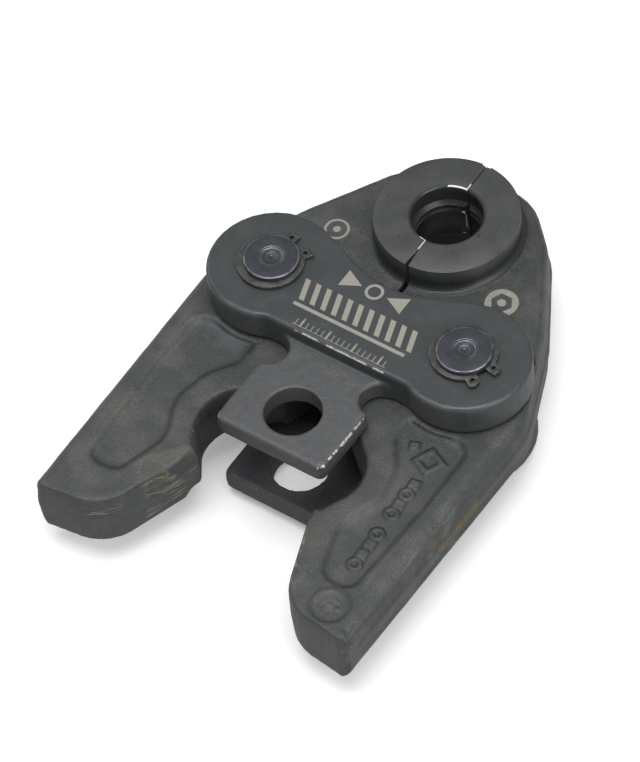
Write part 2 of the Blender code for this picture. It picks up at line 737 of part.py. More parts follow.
def build_spring(pieces, material):
    """The closing spring, as a wire along its centre line."""
    curve = bpy.data.curves.new("closing_spring", "CURVE")
    curve.dimensions = "3D"
    curve.bevel_depth = SPRING_WIRE / 2
    curve.bevel_resolution = 2
    curve.use_fill_caps = True
    spline = curve.splines.new("POLY")
    path = spring_path()
    spline.points.add(len(path) - 1)
    for point, place in zip(spline.points, path):
        point.co = (*place, 1.0)
    curve.materials.append(material)
    spring = bpy.data.objects.new("closing_spring", curve)
    pieces.objects.link(spring)
    return spring


def place(obj, parent, location=(0, 0, 0), turn=0.0, axis="Z"):
    """Hang a piece on an empty, at its place and turned about one axis."""
    obj.parent = parent
    obj.location = location
    obj.rotation_euler = Matrix.Rotation(math.radians(turn), 3, axis).to_euler()


def main():
    clear_scene()
    pieces = make_collection("press_fitting_jaw")
    tools = make_collection("cutters")
    forged = make_material("forged_steel")
    plate_steel = make_material("plate_steel")
    pin_steel = make_material("pin_steel")
    spring_steel = make_material("spring_steel")

    arm_mesh = build_arm(tools, forged)
    reach = [vertex.co.y for vertex in arm_mesh.vertices]
    frame = bpy.data.objects.new("jaw_frame", None)
    pieces.objects.link(frame)
    frame.location = (0, -(min(reach) + max(reach)) / 2, max(PIN_FOOT, BOSS_TOP))
    arm_mesh.transform(Matrix.Translation((-PIN_X, 0, 0)))
    place(add_object("right_jaw_arm", arm_mesh, pieces), frame, (PIN_X, 0, 0))
    place(add_object("left_jaw_arm", arm_mesh, pieces), frame, (-PIN_X, 0, 0), 180, "Y")

    upper_plate = build_plate(tools, plate_steel, UPPER_HEAD_FACE, UPPER_HEAD_EDGE)
    place(add_object("upper_side_plate", upper_plate, pieces), frame)
    lower_plate = build_plate(tools, plate_steel, LOWER_HEAD_FACE, LOWER_HEAD_EDGE)
    place(add_object("lower_side_plate", lower_plate, pieces), frame, turn=180, axis="Y")

    pin_mesh = turned("pivot_pin", pin_profile(), PIN_STEPS)
    pin_mesh.materials.append(pin_steel)
    pin_mesh.shade_smooth()
    pin_mesh.set_sharp_from_angle(angle=math.radians(35))
    ring_mesh = build_ring(tools, spring_steel)
    for name, side, opening in (("left", -1, LEFT_RING_TURN), ("right", 1, RIGHT_RING_TURN)):
        pin = add_object(name + "_pivot_pin", pin_mesh, pieces)
        place(pin, frame, (side * PIN_X, 0, 0))
        upper = add_object(name + "_upper_retaining_ring", ring_mesh, pieces)
        place(upper, frame, (side * PIN_X, 0, UPPER_HEAD_FACE + SEAT_GAP), opening)
        lower = add_object(name + "_lower_retaining_ring", ring_mesh, pieces)
        place(lower, frame, (side * PIN_X, 0, -LOWER_HEAD_FACE - SEAT_GAP - RING_THICKNESS), -opening)

    place(build_spring(pieces, spring_steel), frame)
    bpy.context.view_layer.update()


main()
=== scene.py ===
# %% [markdown]
# # A press fitting tool jaw
# A pipe press tool closes this jaw round a fitting. Two forged arms swing on two pins between a pair of
# side plates, and the noses of the arms form a round press bore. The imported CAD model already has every
# piece at its true size and place, so this script dresses it: finer surfaces, wear and finishes, then the
# floor, the light and the camera. The frame is loaded first, because all that follows is placed from it.

import json
import math

import bpy
import numpy as np
from mathutils import Euler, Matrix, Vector, noise

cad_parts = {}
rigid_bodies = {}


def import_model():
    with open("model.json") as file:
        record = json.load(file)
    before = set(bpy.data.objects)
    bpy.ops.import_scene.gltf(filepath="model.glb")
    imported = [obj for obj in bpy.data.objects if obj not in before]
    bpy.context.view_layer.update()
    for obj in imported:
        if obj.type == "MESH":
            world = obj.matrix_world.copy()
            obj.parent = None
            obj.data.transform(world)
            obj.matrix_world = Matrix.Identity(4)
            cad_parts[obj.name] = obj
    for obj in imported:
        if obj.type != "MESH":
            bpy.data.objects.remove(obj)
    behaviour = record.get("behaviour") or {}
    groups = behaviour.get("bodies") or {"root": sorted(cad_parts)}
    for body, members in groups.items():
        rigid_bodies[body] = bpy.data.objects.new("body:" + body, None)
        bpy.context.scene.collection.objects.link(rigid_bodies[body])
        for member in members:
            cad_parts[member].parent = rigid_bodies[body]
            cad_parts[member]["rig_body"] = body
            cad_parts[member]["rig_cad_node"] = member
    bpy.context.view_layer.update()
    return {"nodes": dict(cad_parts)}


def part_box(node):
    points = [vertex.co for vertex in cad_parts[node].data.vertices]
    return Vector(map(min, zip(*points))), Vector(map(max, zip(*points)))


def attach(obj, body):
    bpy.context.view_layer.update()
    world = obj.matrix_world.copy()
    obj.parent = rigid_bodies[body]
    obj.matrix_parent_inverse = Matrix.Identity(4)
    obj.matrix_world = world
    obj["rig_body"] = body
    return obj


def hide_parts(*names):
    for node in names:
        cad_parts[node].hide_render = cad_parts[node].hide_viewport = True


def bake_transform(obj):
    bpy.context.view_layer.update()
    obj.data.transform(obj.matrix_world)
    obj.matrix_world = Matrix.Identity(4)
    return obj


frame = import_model()

# %% [markdown]
# ## Places that everything is measured from
# The pins, the plane where the forging dies met and the tops of the plates and the die are read off the
# frame's nodes. Details are placed in millimetres from the point midway between the pins, on that plane.

# %% Name the jaw's main places
MM = 0.001


def middle(node):
    """The centre of a CAD node's box."""
    low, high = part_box(node)
    return (low + high) / 2


LEFT_PIN = middle("left_pivot_pin")
RIGHT_PIN = middle("right_pivot_pin")
PARTING = middle("left_jaw_arm").z
ORIGIN = Vector(((LEFT_PIN.x + RIGHT_PIN.x) / 2, LEFT_PIN.y, PARTING))
DIE_FORWARD = 35.0
BOSS_RADIUS = 18.2
BORE_RADIUS = 9.0
CAM_LEAN = math.radians(20)
TIP = (16.4, -50.0)
PIN_X = (RIGHT_PIN.x - LEFT_PIN.x) / 2 / MM
HEAD_TOP = (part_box("upper_side_plate")[1].z - PARTING) / MM
BOSS_TOP = (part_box("left_jaw_arm")[1].z - PARTING) / MM
print("pins at", round(PIN_X, 2), "mm each side; head top", round(HEAD_TOP, 2), "mm above the parting plane")

# %% [markdown]
# ## Selecting, copying and refining
# An operator acts on everything that is selected, so each step starts by deselecting all. The forged pieces
# are copies of their CAD nodes: doubles are merged, a voxel remesh gives an even net of small faces, and a
# smoothing modifier takes the knife edges off, as years of handling do. Subdivision would be another way,
# but a net that follows long triangles can't carry dents and wear.

# %% Select, copy and refine
SEED = 16
VOXEL = 0.35
SOFTENING = 2
random = np.random.default_rng(SEED)


def only(piece):
    """Deselect everything, then select this piece and make it the active one."""
    bpy.ops.object.select_all(action="DESELECT")
    piece.select_set(True)
    bpy.context.view_layer.objects.active = piece


def modify(piece, kind, **settings):
    """Add a modifier with these settings and apply it."""
    only(piece)
    modifier = piece.modifiers.new(kind, kind)
    for key, value in settings.items():
        setattr(modifier, key, value)
    bpy.ops.object.modifier_apply(modifier=modifier.name)


def copy_of(node, name):
    """A free copy of a CAD node with its doubled points merged."""
    source = frame["nodes"][node]
    only(source)
    bpy.ops.object.duplicate()
    piece = bpy.context.active_object
    piece.name = name
    piece.data.name = name
    piece.parent = None
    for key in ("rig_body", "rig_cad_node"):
        del piece[key]
    piece.data.materials.clear()
    bpy.ops.object.mode_set(mode="EDIT")
    bpy.ops.mesh.select_all(action="SELECT")
    bpy.ops.mesh.remove_doubles(threshold=0.001 * MM)
    bpy.ops.mesh.normals_make_consistent(inside=False)
    bpy.ops.object.mode_set(mode="OBJECT")
    return piece


def refine(piece):
    """Give a piece an even net of faces and take the knife edges off."""
    modify(piece, "REMESH", mode="VOXEL", voxel_size=VOXEL * MM, use_smooth_shade=True)
    modify(piece, "SMOOTH", factor=0.5, iterations=SOFTENING)
    print(piece.name, "has", len(piece.data.polygons), "faces")
    return piece


# %% Cut pieces
def take_away(piece, tool):
    """Cut one object out of another, and remove the cutter."""
    modify(piece, "BOOLEAN", operation="DIFFERENCE", solver="EXACT", object=tool)
    bpy.data.objects.remove(tool, do_unlink=True)


def cut_block(piece, centre, size, turn=0.0):
    """Cut a block out of a piece. Its centre and size are in millimetres from the jaw's middle."""
    bpy.ops.object.select_all(action="DESELECT")
    bpy.ops.mesh.primitive_cube_add(
        size=1,
        location=ORIGIN + Vector(centre) * MM,
        rotation=(0, 0, math.radians(turn)),
        scale=Vector(size) * MM,
    )
    take_away(piece, bpy.context.active_object)


def cut_round(piece, centre, radius, height):
    """Cut an upright cylinder out of a piece."""
    bpy.ops.object.select_all(action="DESELECT")
    place = ORIGIN + Vector(centre) * MM
    bpy.ops.mesh.primitive_cylinder_add(vertices=120, radius=radius * MM, depth=height * MM, location=place)
    take_away(piece, bpy.context.active_object)


# %% [markdown]
# ## Sculpting with numbers
# Forging marks, dents and worn edges are small moves of many points. A net's points are read into an array
# in millimetres from the jaw's own middle, moved by plain formulas, and written back. Neighbours are found
# from the edges, so an area is relaxed by moving its points towards the mean of their neighbours.

# %% Read, write, relax and measure a net
class Net:
    """A piece's points in millimetres from the middle of the jaw, with what its edges say."""

    def __init__(self, piece):
        self.piece = piece
        mesh = piece.data
        count = len(mesh.vertices)
        flat = np.zeros(count * 3)
        mesh.vertices.foreach_get("co", flat)
        self.points = (flat.reshape(-1, 3) - np.array(ORIGIN)) / MM
        ends = np.zeros(len(mesh.edges) * 2, int)
        mesh.edges.foreach_get("vertices", ends)
        pairs = ends.reshape(-1, 2)
        self.start = np.concatenate((pairs[:, 0], pairs[:, 1]))
        self.end = np.concatenate((pairs[:, 1], pairs[:, 0]))
        self.links = np.bincount(self.start, minlength=count)

    def folded(self):
        """How far each point is from the jaw's middle plane, with its y and z."""
        x, y, z = self.points.T
        return np.abs(x), y, z

    def mean_of_neighbours(self, values):
        """The mean of each point's neighbours, for one value a point or for several."""
        columns = values.reshape(len(self.links), -1).T
        sums = [np.bincount(self.start, column[self.end], len(self.links)) for column in columns]
        return (np.array(sums) / np.maximum(self.links, 1)).T.reshape(values.shape)

    def relax(self, weight, rounds):
        """Draw points towards their neighbours where weight is above nought."""
        for _ in range(rounds):
            step = self.mean_of_neighbours(self.points) - self.points
            self.points += 0.5 * weight[:, None] * step

    def spread(self, values, rounds):
        """Blur one value a point over its neighbours."""
        for _ in range(rounds):
            values = 0.5 * values + 0.5 * self.mean_of_neighbours(values)
        return values

    def write(self):
        """Put the points back into the mesh."""
        placed = self.points * MM + np.array(ORIGIN)
        self.piece.data.vertices.foreach_set("co", placed.ravel())
        self.piece.data.update()

    def normals(self):
        """The direction that each point faces."""
        self.write()
        flat = np.zeros(len(self.links) * 3)
        self.piece.data.vertex_normals.foreach_get("vector", flat)
        return flat.reshape(-1, 3)

    def bulge(self):
        """How far each point stands out of its neighbours, in millimetres: edges are above nought."""
        step = self.points - self.mean_of_neighbours(self.points)
        return np.einsum("ij,ij->i", step, self.normals())

    def keep(self, **shares):
        """Store values of the points, which a finish then reads by name."""
        for name, values in shares.items():
            layer = self.piece.data.attributes.new(name, "FLOAT", "POINT")
            layer.data.foreach_set("value", values.astype(np.float32))


# %% Smooth steps, noise and lines
def ramp(values, low, high):
    """A smooth step from nought at low to one at high."""
    share = np.clip((values - low) / (high - low), 0, 1)
    return share * share * (3 - 2 * share)


def lumps(points, size, seed):
    """Soft noise from about -1 to 1 with lumps of a given size in millimetres."""
    shift = Vector((seed * 17.3, seed * 5.9, seed * 11.1))
    return np.array([noise.noise(Vector(point) / size + shift) for point in points])


def line(u, v, start, end, width):
    """One along a line between two places of a surface, falling to nought at its width."""
    run = (end[0] - start[0], end[1] - start[1])
    share = ((u - start[0]) * run[0] + (v - start[1]) * run[1]) / (run[0] ** 2 + run[1] ** 2)
    share = np.clip(share, 0, 1)
    away = np.hypot(u - start[0] - share * run[0], v - start[1] - share * run[1])
    return 1 - ramp(away, 0.3 * width, width)


def path(u, v, places, width):
    """One along a bent line through several places of a surface."""
    return np.max([line(u, v, start, end, width) for start, end in zip(places, places[1:])], axis=0)


# %% [markdown]
# ## Wear along the edges
# The dark skin of a tool is rubbed off first where it stands proud, and its hollows are painted darker as
# shade. Both follow from how far a point stands out of its neighbours, so they are measured on the net and
# kept as values that the finishes read. Nicks are small dents struck into the edges, and shine where struck.

# %% Measure wear and strike nicks
NICK_SIZES = (0.3, 0.75)
NICK_DEPTH = 0.2
PROUD = 0.03 * VOXEL
WEAR_PATCH = 3.2
WORN_BULGE = (0.08, 0.22)
HOLLOW_BULGE = (0.02, 0.09)


def strike_nicks(net, count, where):
    """Dent random points of the edges in an area, and say how much each point was struck."""
    edges = np.flatnonzero((net.bulge() > PROUD) & where)
    struck = np.zeros(len(net.links))
    facing = net.normals()
    for index in random.choice(edges, min(count, len(edges)), replace=False):
        size = random.uniform(*NICK_SIZES)
        stretch = net.points - net.points[index]
        near = np.exp(-np.einsum("ij,ij->i", stretch, stretch) / size**2 * 2)
        net.points -= facing * (near * NICK_DEPTH * size)[:, None]
        struck = np.maximum(struck, near)
    return struck


def keep_wear(net, struck, patchy):
    """Keep the worn share of each point, and the hollow share that the finishes paint darker as shade."""
    bulge = net.spread(net.bulge(), 1) / VOXEL
    patches = ramp(lumps(net.points, WEAR_PATCH, 12), -0.15, 0.35)
    worn = np.clip(patchy * ramp(bulge, *WORN_BULGE) * patches + struck, 0, 1)
    # The hollow share is painted shade: the finishes darken the hollows with it.
    net.keep(worn=worn, hollow=ramp(net.spread(-bulge, 3), *HOLLOW_BULGE))
    net.write()


# %% [markdown]
# ## The forged arms
# Each arm is a drop forging: its skin is slightly uneven, its pocket has soft walls, a rough seam runs round
# it where the flash was trimmed, and its die half, cam face and tail end are machined afterwards. The die is
# a turned shape, so it is cut out here and made as a piece of its own. The net is relaxed where the steel
# was left as forged. The seam stands as proud as the CAD model, and the skin beside it lies slightly lower.

# %% Shape the forged skin
DIE_ZONE = 19.2
SEAM_WIDTH = 1.5
SEAM_HEIGHT = 0.26
SKIN_LUMP = 5.0
SKIN_DEPTH = 0.06
END_PLACE = (26.2, 76.8)
END_SLANT = 0.12
UNDER_PLATE = 15.5
POCKET_FLOOR = (6.2, 6.6)
POCKET_TOP = (7.9, 8.3)


def from_cam(x, y):
    """How deep inside the cam face a place of the tail is."""
    return (x - TIP[0]) * math.cos(CAM_LEAN) + (y - TIP[1]) * math.sin(CAM_LEAN)


def machined_share(net):
    """One where the arm is machined: the cam face, the tail's end and the split."""
    x, y, _ = net.folded()
    cam = (1 - ramp(from_cam(x, y), 0.4, 1.2)) * ramp(-y, 49.0, 50.5)
    beyond = -y - END_PLACE[1] - END_SLANT * (x - END_PLACE[0])
    end = ramp(beyond, -0.9, -0.3)
    split = (1 - ramp(x, 0.8, 1.6)) * ramp(y, -2, 0)
    return np.clip(cam + end + split, 0, 1)


def forge_arm(net):
    """Soften the walls, raise the trimmed seam and make the skin uneven."""
    x, y, z = net.folded()
    forged = 1 - machined_share(net)
    inner_walls = forged * ramp(-y, 17.0, 20.0) * (1 - ramp(x, 35.5, 37.5))
    net.relax(inner_walls, 6)
    net.relax(forged, 3)
    facing = net.normals()
    under_plates = np.hypot(x - PIN_X, y) < UNDER_PLATE
    side = ramp(1 - np.abs(facing[:, 2]), 0.75, 0.95) * forged * np.where(under_plates, 0, 1)
    outward = np.where((x > 30) | (y > 40), 1.0, 0.35)
    height = z + 0.35 * lumps(net.points, 9.0, 2)
    seam = 1 - ramp(np.abs(height), 0.75 * SEAM_WIDTH, 1.15 * SEAM_WIDTH)
    rough = 0.12 * lumps(net.points * (1, 1, 0.3), 1.2, 3) * seam
    skin = lumps(net.points, SKIN_LUMP, 1) + 0.5 * lumps(net.points, SKIN_LUMP / 2.6, 4)
    sunk = SEAM_HEIGHT * (seam - 1 - np.abs(rough)) * side * outward
    net.points += facing * (sunk + SKIN_DEPTH * (skin - 1) * forged)[:, None]
    return seam * side * outward


def dirt_share(net):
    """Painted shade on an arm: down the pocket's walls, most where they face -x, and round the die's foot.
    """
    x, y, z = net.folded()
    facing = net.normals()
    # Painted shade down the pocket's walls, most on walls that face -x, away from the right-hand lamp.
    wall = ramp(1 - np.abs(facing[:, 2]), 0.004, 0.1) * (0.3 + 0.7 * ramp(-facing[:, 0], 0.0, 0.3))
    wall *= ramp(z, *POCKET_FLOOR) * (1 - ramp(z, *POCKET_TOP)) * ramp(from_cam(x, y), 2.5, 4.0)
    wall *= (1 - ramp(x, 38.0, 39.0)) * ramp(-y, 15.0, 17.0) * (1 - ramp(-y, 70, 72))
    # Painted shade round the foot of the die.
    shaded_foot = 1 - ramp(np.hypot(x, y - DIE_FORWARD), DIE_ZONE - 0.5, DIE_ZONE + 4.0)
    return net.spread(np.maximum(wall, 0.8 * shaded_foot * (z > 0)), 4)


def round_tip(net):
    """Round off the corners of the tail's tip, which the rollers meet first."""
    x, y, z = net.folded()
    near = 1 - ramp(np.hypot(x - TIP[0], y - TIP[1]), 1.0, 6.0)
    depth = np.where(z < 0, 1.9, 0.9) * ramp(np.abs(z), 3.0, 8.6) ** 2
    net.points[:, 0] += np.sign(net.points[:, 0]) * near * depth


# %% [markdown]
# ## Marks in the forging dies
# A forging carries raised marks from its dies, down in the pocket where they don't rub off. Here they are
# plain shapes, a diamond and rows of pads and rings, raised by moving the points inside each outline.
# Near the right tail's end a round spot was ground to test the hardness, which leaves a shallow dish.

# %% Raise the marks and grind the spot
MARK_HEIGHT = 0.5
SPOT = (36.6, -72.0)
SPOT_RADIUS = 4.9


def turned_to(points, x, y, turn):
    """Points of the pocket floor, seen from a mark's own middle and direction."""
    angle = math.radians(turn)
    dx = points[:, 0] - x
    dy = points[:, 1] - y
    return dx * math.cos(angle) + dy * math.sin(angle), dy * math.cos(angle) - dx * math.sin(angle)


def block(u, v, length, width):
    """How deep inside a block each point is."""
    return np.minimum(length / 2 - np.abs(u), width / 2 - np.abs(v))


def ring_shape(u, v, radius, width):
    """How deep inside a ring each point is."""
    return width / 2 - np.abs(np.hypot(u, v) - radius)


def diamond(u, v, size, width):
    """How deep inside the outline of a square on its corner each point is."""
    return width / 2 - np.abs((np.abs(u) + np.abs(v)) / math.sqrt(2) - size / 2)


DIAMOND = (200.0, diamond, (4.6, 1.5))
SMALL_PAD = (110.0, block, (2.4, 2.4))
PAD = (185.0, block, (2.7, 2.7))
EYE = (185.0, ring_shape, (1.4, 1.0))
MARKS = (
    (33.2, -24.6, DIAMOND),
    (27.6, -22.4, SMALL_PAD),
    (33.9, -32.0, PAD),
    (33.9, -35.3, EYE),
    (33.9, -38.6, PAD),
    (33.9, -41.9, EYE),
    (34.3, -48.6, EYE),
    (34.4, -51.9, PAD),
    (34.4, -55.2, PAD),
    (34.5, -58.5, EYE),
)


def raise_marks(net):
    """Raise plain marks on the floor of the right arm's upper pocket, and say where their outline is."""
    points = net.points
    inside = np.full(len(points), -9.0)
    for x, y, (turn, shape, sizes) in MARKS:
        u, v = turned_to(points, x, y, turn)
        inside = np.maximum(inside, shape(u, v, *sizes))
    floor = ramp(points[:, 2], *POCKET_FLOOR)
    points[:, 2] += MARK_HEIGHT * ramp(inside, -0.22, 0.22) * floor
    return np.exp(-(((inside + 0.2) / 0.3) ** 2)) * floor


def grind_spot(net):
    """Sink a shallow dish with a rough middle into the right tail's upper face."""
    away = np.hypot(net.points[:, 0] - SPOT[0], net.points[:, 1] - SPOT[1])
    top = ramp(net.points[:, 2], 6.8, 7.6)
    dish = (1 - ramp(away, SPOT_RADIUS - 1.2, SPOT_RADIUS)) * top
    lip = np.exp(-(((away - SPOT_RADIUS) / 0.6) ** 2)) * top
    grain = lumps(net.points, 0.9, 9)
    net.points[:, 2] += 0.1 * lip - 0.25 * dish - 0.2 * dish * grain * (1 - ramp(away, 2.0, 4.2))
    return dish, lip


# %% [markdown]
# ## Traces of use
# Rollers rub the cam face and leave long scratches, something yellow has come off on it, and a little rust
# sits on the right arm's seam. Such traces aren't random: each is placed where this jaw has it, as lines and
# patches on one face, so the two arms don't look like copies of each other. A bluish patch by the left
# pocket is a painted sheen.

# %% Places that this jaw's use has marked
CAM_RUBBED = (((15.2, 5.6), (9.0, 3.0)), ((15.4, 0.5), (8.0, -1.0), (2.0, 0.5)), ((15.4, -4.6), (4.0, -4.0)))
CAM_SCRATCHES = (((15.5, 6.7), (12.7, 6.4), (11.1, 5.6)), ((16.1, 2.6), (10.3, -0.4), (8.1, 0.9)))
END_RUBBED = (((-30.6, 4.6), (-24.2, 4.2)), ((-30.0, 2.8), (-26.0, 2.6)))
SPOT_STROKES = (
    ((32.4, -72.2), (34.8, -71.5)),
    ((35.0, -70.6), (36.5, -72.0), (38.0, -72.8)),
    ((36.0, -71.2), (37.7, -73.2)),
    ((35.4, -72.6), (37.2, -71.0)),
    ((39.9, -74.0), (40.7, -73.1)),
    ((37.9, -76.6), (39.4, -76.1)),
)
EDGE_DUST = (((23.9, -66.2), (26.2, -67.2), (26.4, -69.6), (25.4, -70.8)), ((27.1, -65.5), (27.6, -66.2)))
SIDE_DUST = (((-33.0, 7.0), (-52.6, 7.2), (-66.0, 7.1), (-78.0, 6.9)), ((-57.0, 3.4), (-78.5, 3.0)))
RUST_PATCHES = (((-26.2, 0.9), (-28.8, 0.5)), ((-31.0, 0.3), (-37.2, 0.0)), ((-39.5, 0.2), (-41.2, -0.4)))
TAIL_TOP = (6.9, 7.8)
CAM_START = (48.5, 49.5)
PLATE_LOBE = 16.4


# %% Scratches, dust, stains and rust
def strokes(u, v, paths, width):
    """One along all of these bent lines."""
    return np.max([path(u, v, places, width) for places in paths], axis=0)


def mark_use(net, side):
    """Where an arm is scratched, rubbed, dusty, brown, bluish, yellow or rusty, with a painted bluish sheen.
    """
    x, y, z = net.points.T
    wide = np.abs(x)
    top = ramp(z, *TAIL_TOP)
    zeros = np.zeros(len(x))
    use = dict.fromkeys(("scratched", "rubbed", "dusty", "brown", "bluish_and_sheen", "yellow", "rusty"), zeros)
    on_cam = (1 - ramp(from_cam(wide, y), 0.6, 1.4)) * ramp(-y, *CAM_START)
    along = (wide - TIP[0]) * math.sin(CAM_LEAN) - (y - TIP[1]) * math.cos(CAM_LEAN)
    use["rubbed"] = 0.5 * on_cam
    from_lobe = np.hypot(wide - PIN_X, y) - PLATE_LOBE
    under_plate = np.exp(-((from_lobe - 0.4) ** 2) / 0.5) * (y < 0) * (1 - ramp(wide, PIN_X, PIN_X + 6))
    limit = np.interp(-y, (49.5, 58.8, 65.0), (2.2, 6.0, 1.0))
    facet = ramp(limit - from_cam(wide, y), -0.15, 0.4) * ramp(-y, *CAM_START) * (1 - ramp(-y, 64.5, 65.5))
    if side < 0:
        at_end = ramp(-y, 70.5, 72.0) * (1 - top)
        cam_lines = strokes(along, z, CAM_RUBBED, 2.6) * on_cam
        use["rubbed"] = np.maximum(cam_lines, strokes(x, z, END_RUBBED, 1.7) * at_end)
        crease = path(x, y, ((-25.6, -58.4), (-25.9, -60.6), (-24.4, -63.7)), 0.4) * top
        use["scratched"] = np.maximum(0.7 * strokes(along, z, CAM_SCRATCHES, 0.38) * on_cam, crease * 0.5)
        net.points[:, 2] -= 0.13 * np.clip(limit - from_cam(wide, y), 0, 6) * facet * top
        use["brown"] = facet * top
        band = ramp(-y, 64.2, 64.8) * (1 - ramp(-y, 68.2, 68.9))
        band += 0.5 * ramp(-y, 69.3, 69.8) * (1 - ramp(-y, 71, 71.6))
        # Painted sheen: a bluish patch beside the left pocket. The band above is a bluish tint low on the
        # tail.
        patch = path(x, y, ((-35.5, -16.4), (-30.4, -18.4), (-26.5, -19.6)), 2.6) * ramp(z, 6.0, 6.6)
        use["bluish_and_sheen"] = np.clip(0.4 * band * (wide < 27) * (1 - top) + 0.8 * patch, 0, 1)
        use["yellow"] = np.clip(1 - np.abs(np.hypot(along - 10.1, z - 5.7) - 0.9) / 0.5, 0, 1) * on_cam
        use["dusty"] = np.maximum(path(x, y, ((-24.4, -63.7), (-22.4, -65.4)), 0.8), under_plate) * top
    else:
        dust = np.maximum(strokes(x, y, EDGE_DUST, 0.7), under_plate)
        use["scratched"] = 0.4 * strokes(x, y, SPOT_STROKES, 0.45) * top
        outer = ramp(x, 40.5, 41.5)
        use["dusty"] = np.maximum(dust * top, 0.75 * strokes(y, z, SIDE_DUST, 0.9) * outer)
        use["rusty"] = strokes(y, z, RUST_PATCHES, 2.2) * outer
        use["brown"] = 0.35 * facet * top
    return use


# %% Make both arms
ARM_NICKS = 7


def make_arm(side_name, side):
    """One finished arm, with what its finish needs to know."""
    node = side_name + "_jaw_arm"
    arm = copy_of(node, side_name + "_forged_arm")
    cut_round(arm, (0, DIE_FORWARD, 0), DIE_ZONE, 4 * BOSS_TOP)
    net = Net(refine(arm))
    seam = forge_arm(net)
    round_tip(net)
    outline = raise_marks(net) if side > 0 else np.zeros(len(net.links))
    dish, lip = grind_spot(net) if side > 0 else (outline, outline)
    net.keep(**mark_use(net, side))
    wide, y, _ = net.folded()
    behind = y < -16
    struck = 0.7 * strike_nicks(net, ARM_NICKS, behind & (wide > 14))
    wide, y, _ = net.folded()
    net.keep(
        outline=np.clip(outline + 0.6 * lip, 0, 1),
        dirt=dirt_share(net),
        streaky=ramp(wide, 38.2, 39.5) * behind * (1.0 if side > 0 else 0.3),
        ground=dish,
        seam=seam,
        machined=net.spread(machined_share(net), 1),
    )
    keep_wear(net, struck, 0.32)
    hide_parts(node)
    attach(arm, side_name + "_arm")
    return arm


arms = [make_arm("left", -1), make_arm("right", 1)]

# %% [markdown]
# ## Lathe work
# Pins and dies are turned, so one function makes both: a circle is extruded and resized again and again up
# its profile. A profile that comes back to where it began gives a ring, whose last circle is merged with its
# first. Spinning a drawn profile would do the same, but this needs no drawing.

# %% Turn a profile
def turn(name, centre, profile, sides, closed=False):
    """A turned piece from (radius, height) steps in millimetres. closed gives a ring."""
    bpy.ops.object.select_all(action="DESELECT")
    radius, height = profile[0]
    place = Vector((centre.x, centre.y, PARTING + height * MM))
    fill = "NOTHING" if closed else "NGON"
    bpy.ops.mesh.primitive_circle_add(vertices=sides, radius=radius * MM, fill_type=fill, location=place)
    piece = bpy.context.active_object
    piece.name = name
    piece.data.name = name
    bpy.ops.object.mode_set(mode="EDIT")
    bpy.ops.mesh.select_all(action="SELECT")
    for (old_radius, old_height), (radius, height) in zip(profile, profile[1:]):
        step = (0, 0, (height - old_height) * MM)
        bpy.ops.mesh.extrude_region_move(TRANSFORM_OT_translate={"value": step})
        share = radius / old_radius
        middle_point = (centre.x, centre.y, PARTING + height * MM)
        bpy.ops.transform.resize(value=(share, share, 1), center_override=middle_point)
    bpy.ops.mesh.select_all(action="SELECT")
    if closed:
        bpy.ops.mesh.remove_doubles(threshold=0.001 * MM)
    bpy.ops.mesh.normals_make_consistent(inside=False)
    bpy.ops.object.mode_set(mode="OBJECT")
    bpy.ops.object.transform_apply(location=True, rotation=True, scale=True)
    return piece


def break_edges(piece, width, angle):
    """Break the sharp edges of a turned or stamped piece, and shade the rest smooth."""
    sharp = math.radians(angle)
    last = len(piece.data.materials) - 1
    settings = {"width": width * MM, "segments": 2, "limit_method": "ANGLE", "angle_limit": sharp}
    modify(piece, "BEVEL", material=last, **settings)
    bpy.ops.object.shade_smooth_by_angle(angle=sharp)
    print(piece.name, "has", len(piece.data.polygons), "faces")


# %% [markdown]
# ## The two die halves
# The die is bored and turned in one setting with both arms clamped together, and its bore carries two ribs
# near each end that bite into a fitting. So it is turned as one whole ring and then parted by blocks: a fine
# split that widens behind the die, a notch in front, and a chamfer on each corner of the bore.

# %% Turn and part the die
DIE_SIDES = 144
FILLET = 2.2
FILLET_MIDDLE = (20.4, 12.27)
BORE_STEPS = (
    (9.0, 16.5), (9.0, 14.95), (9.4, 14.55), (9.4, 11.42), (8.45, 10.47), (8.45, 9.94),
    (9.0, 9.2), (8.45, 8.46), (8.45, 7.93), (9.0, 6.98), (9.0, 2.3), (9.4, 1.9),
)
SPLIT_HALF = 0.15
CHAMFER = 1.1
CHAMFER_AWAY = 8.6
RELIEF_PLACE = (0.62, 19.0)
RELIEF_TURN = 5.6
NOTCH_HALF = 1.2
NOTCH_DEPTH = 0.4
DIE_TALL = 4 * BOSS_TOP


def die_profile():
    """The (radius, height) steps round a section of the die ring."""
    outer = [(BORE_RADIUS + 0.4, BOSS_TOP), (BOSS_RADIUS, BOSS_TOP)]
    for angle in range(180, 256, 15):
        turn_by = math.radians(angle)
        across = FILLET_MIDDLE[0] + FILLET * math.cos(turn_by)
        outer.append((across, FILLET_MIDDLE[1] + FILLET * math.sin(turn_by)))
    lower = [(radius, -height) for radius, height in reversed(outer)]
    bore = [(radius, -height) for radius, height in BORE_STEPS] + list(reversed(BORE_STEPS))
    return outer + lower + bore + outer[:1]


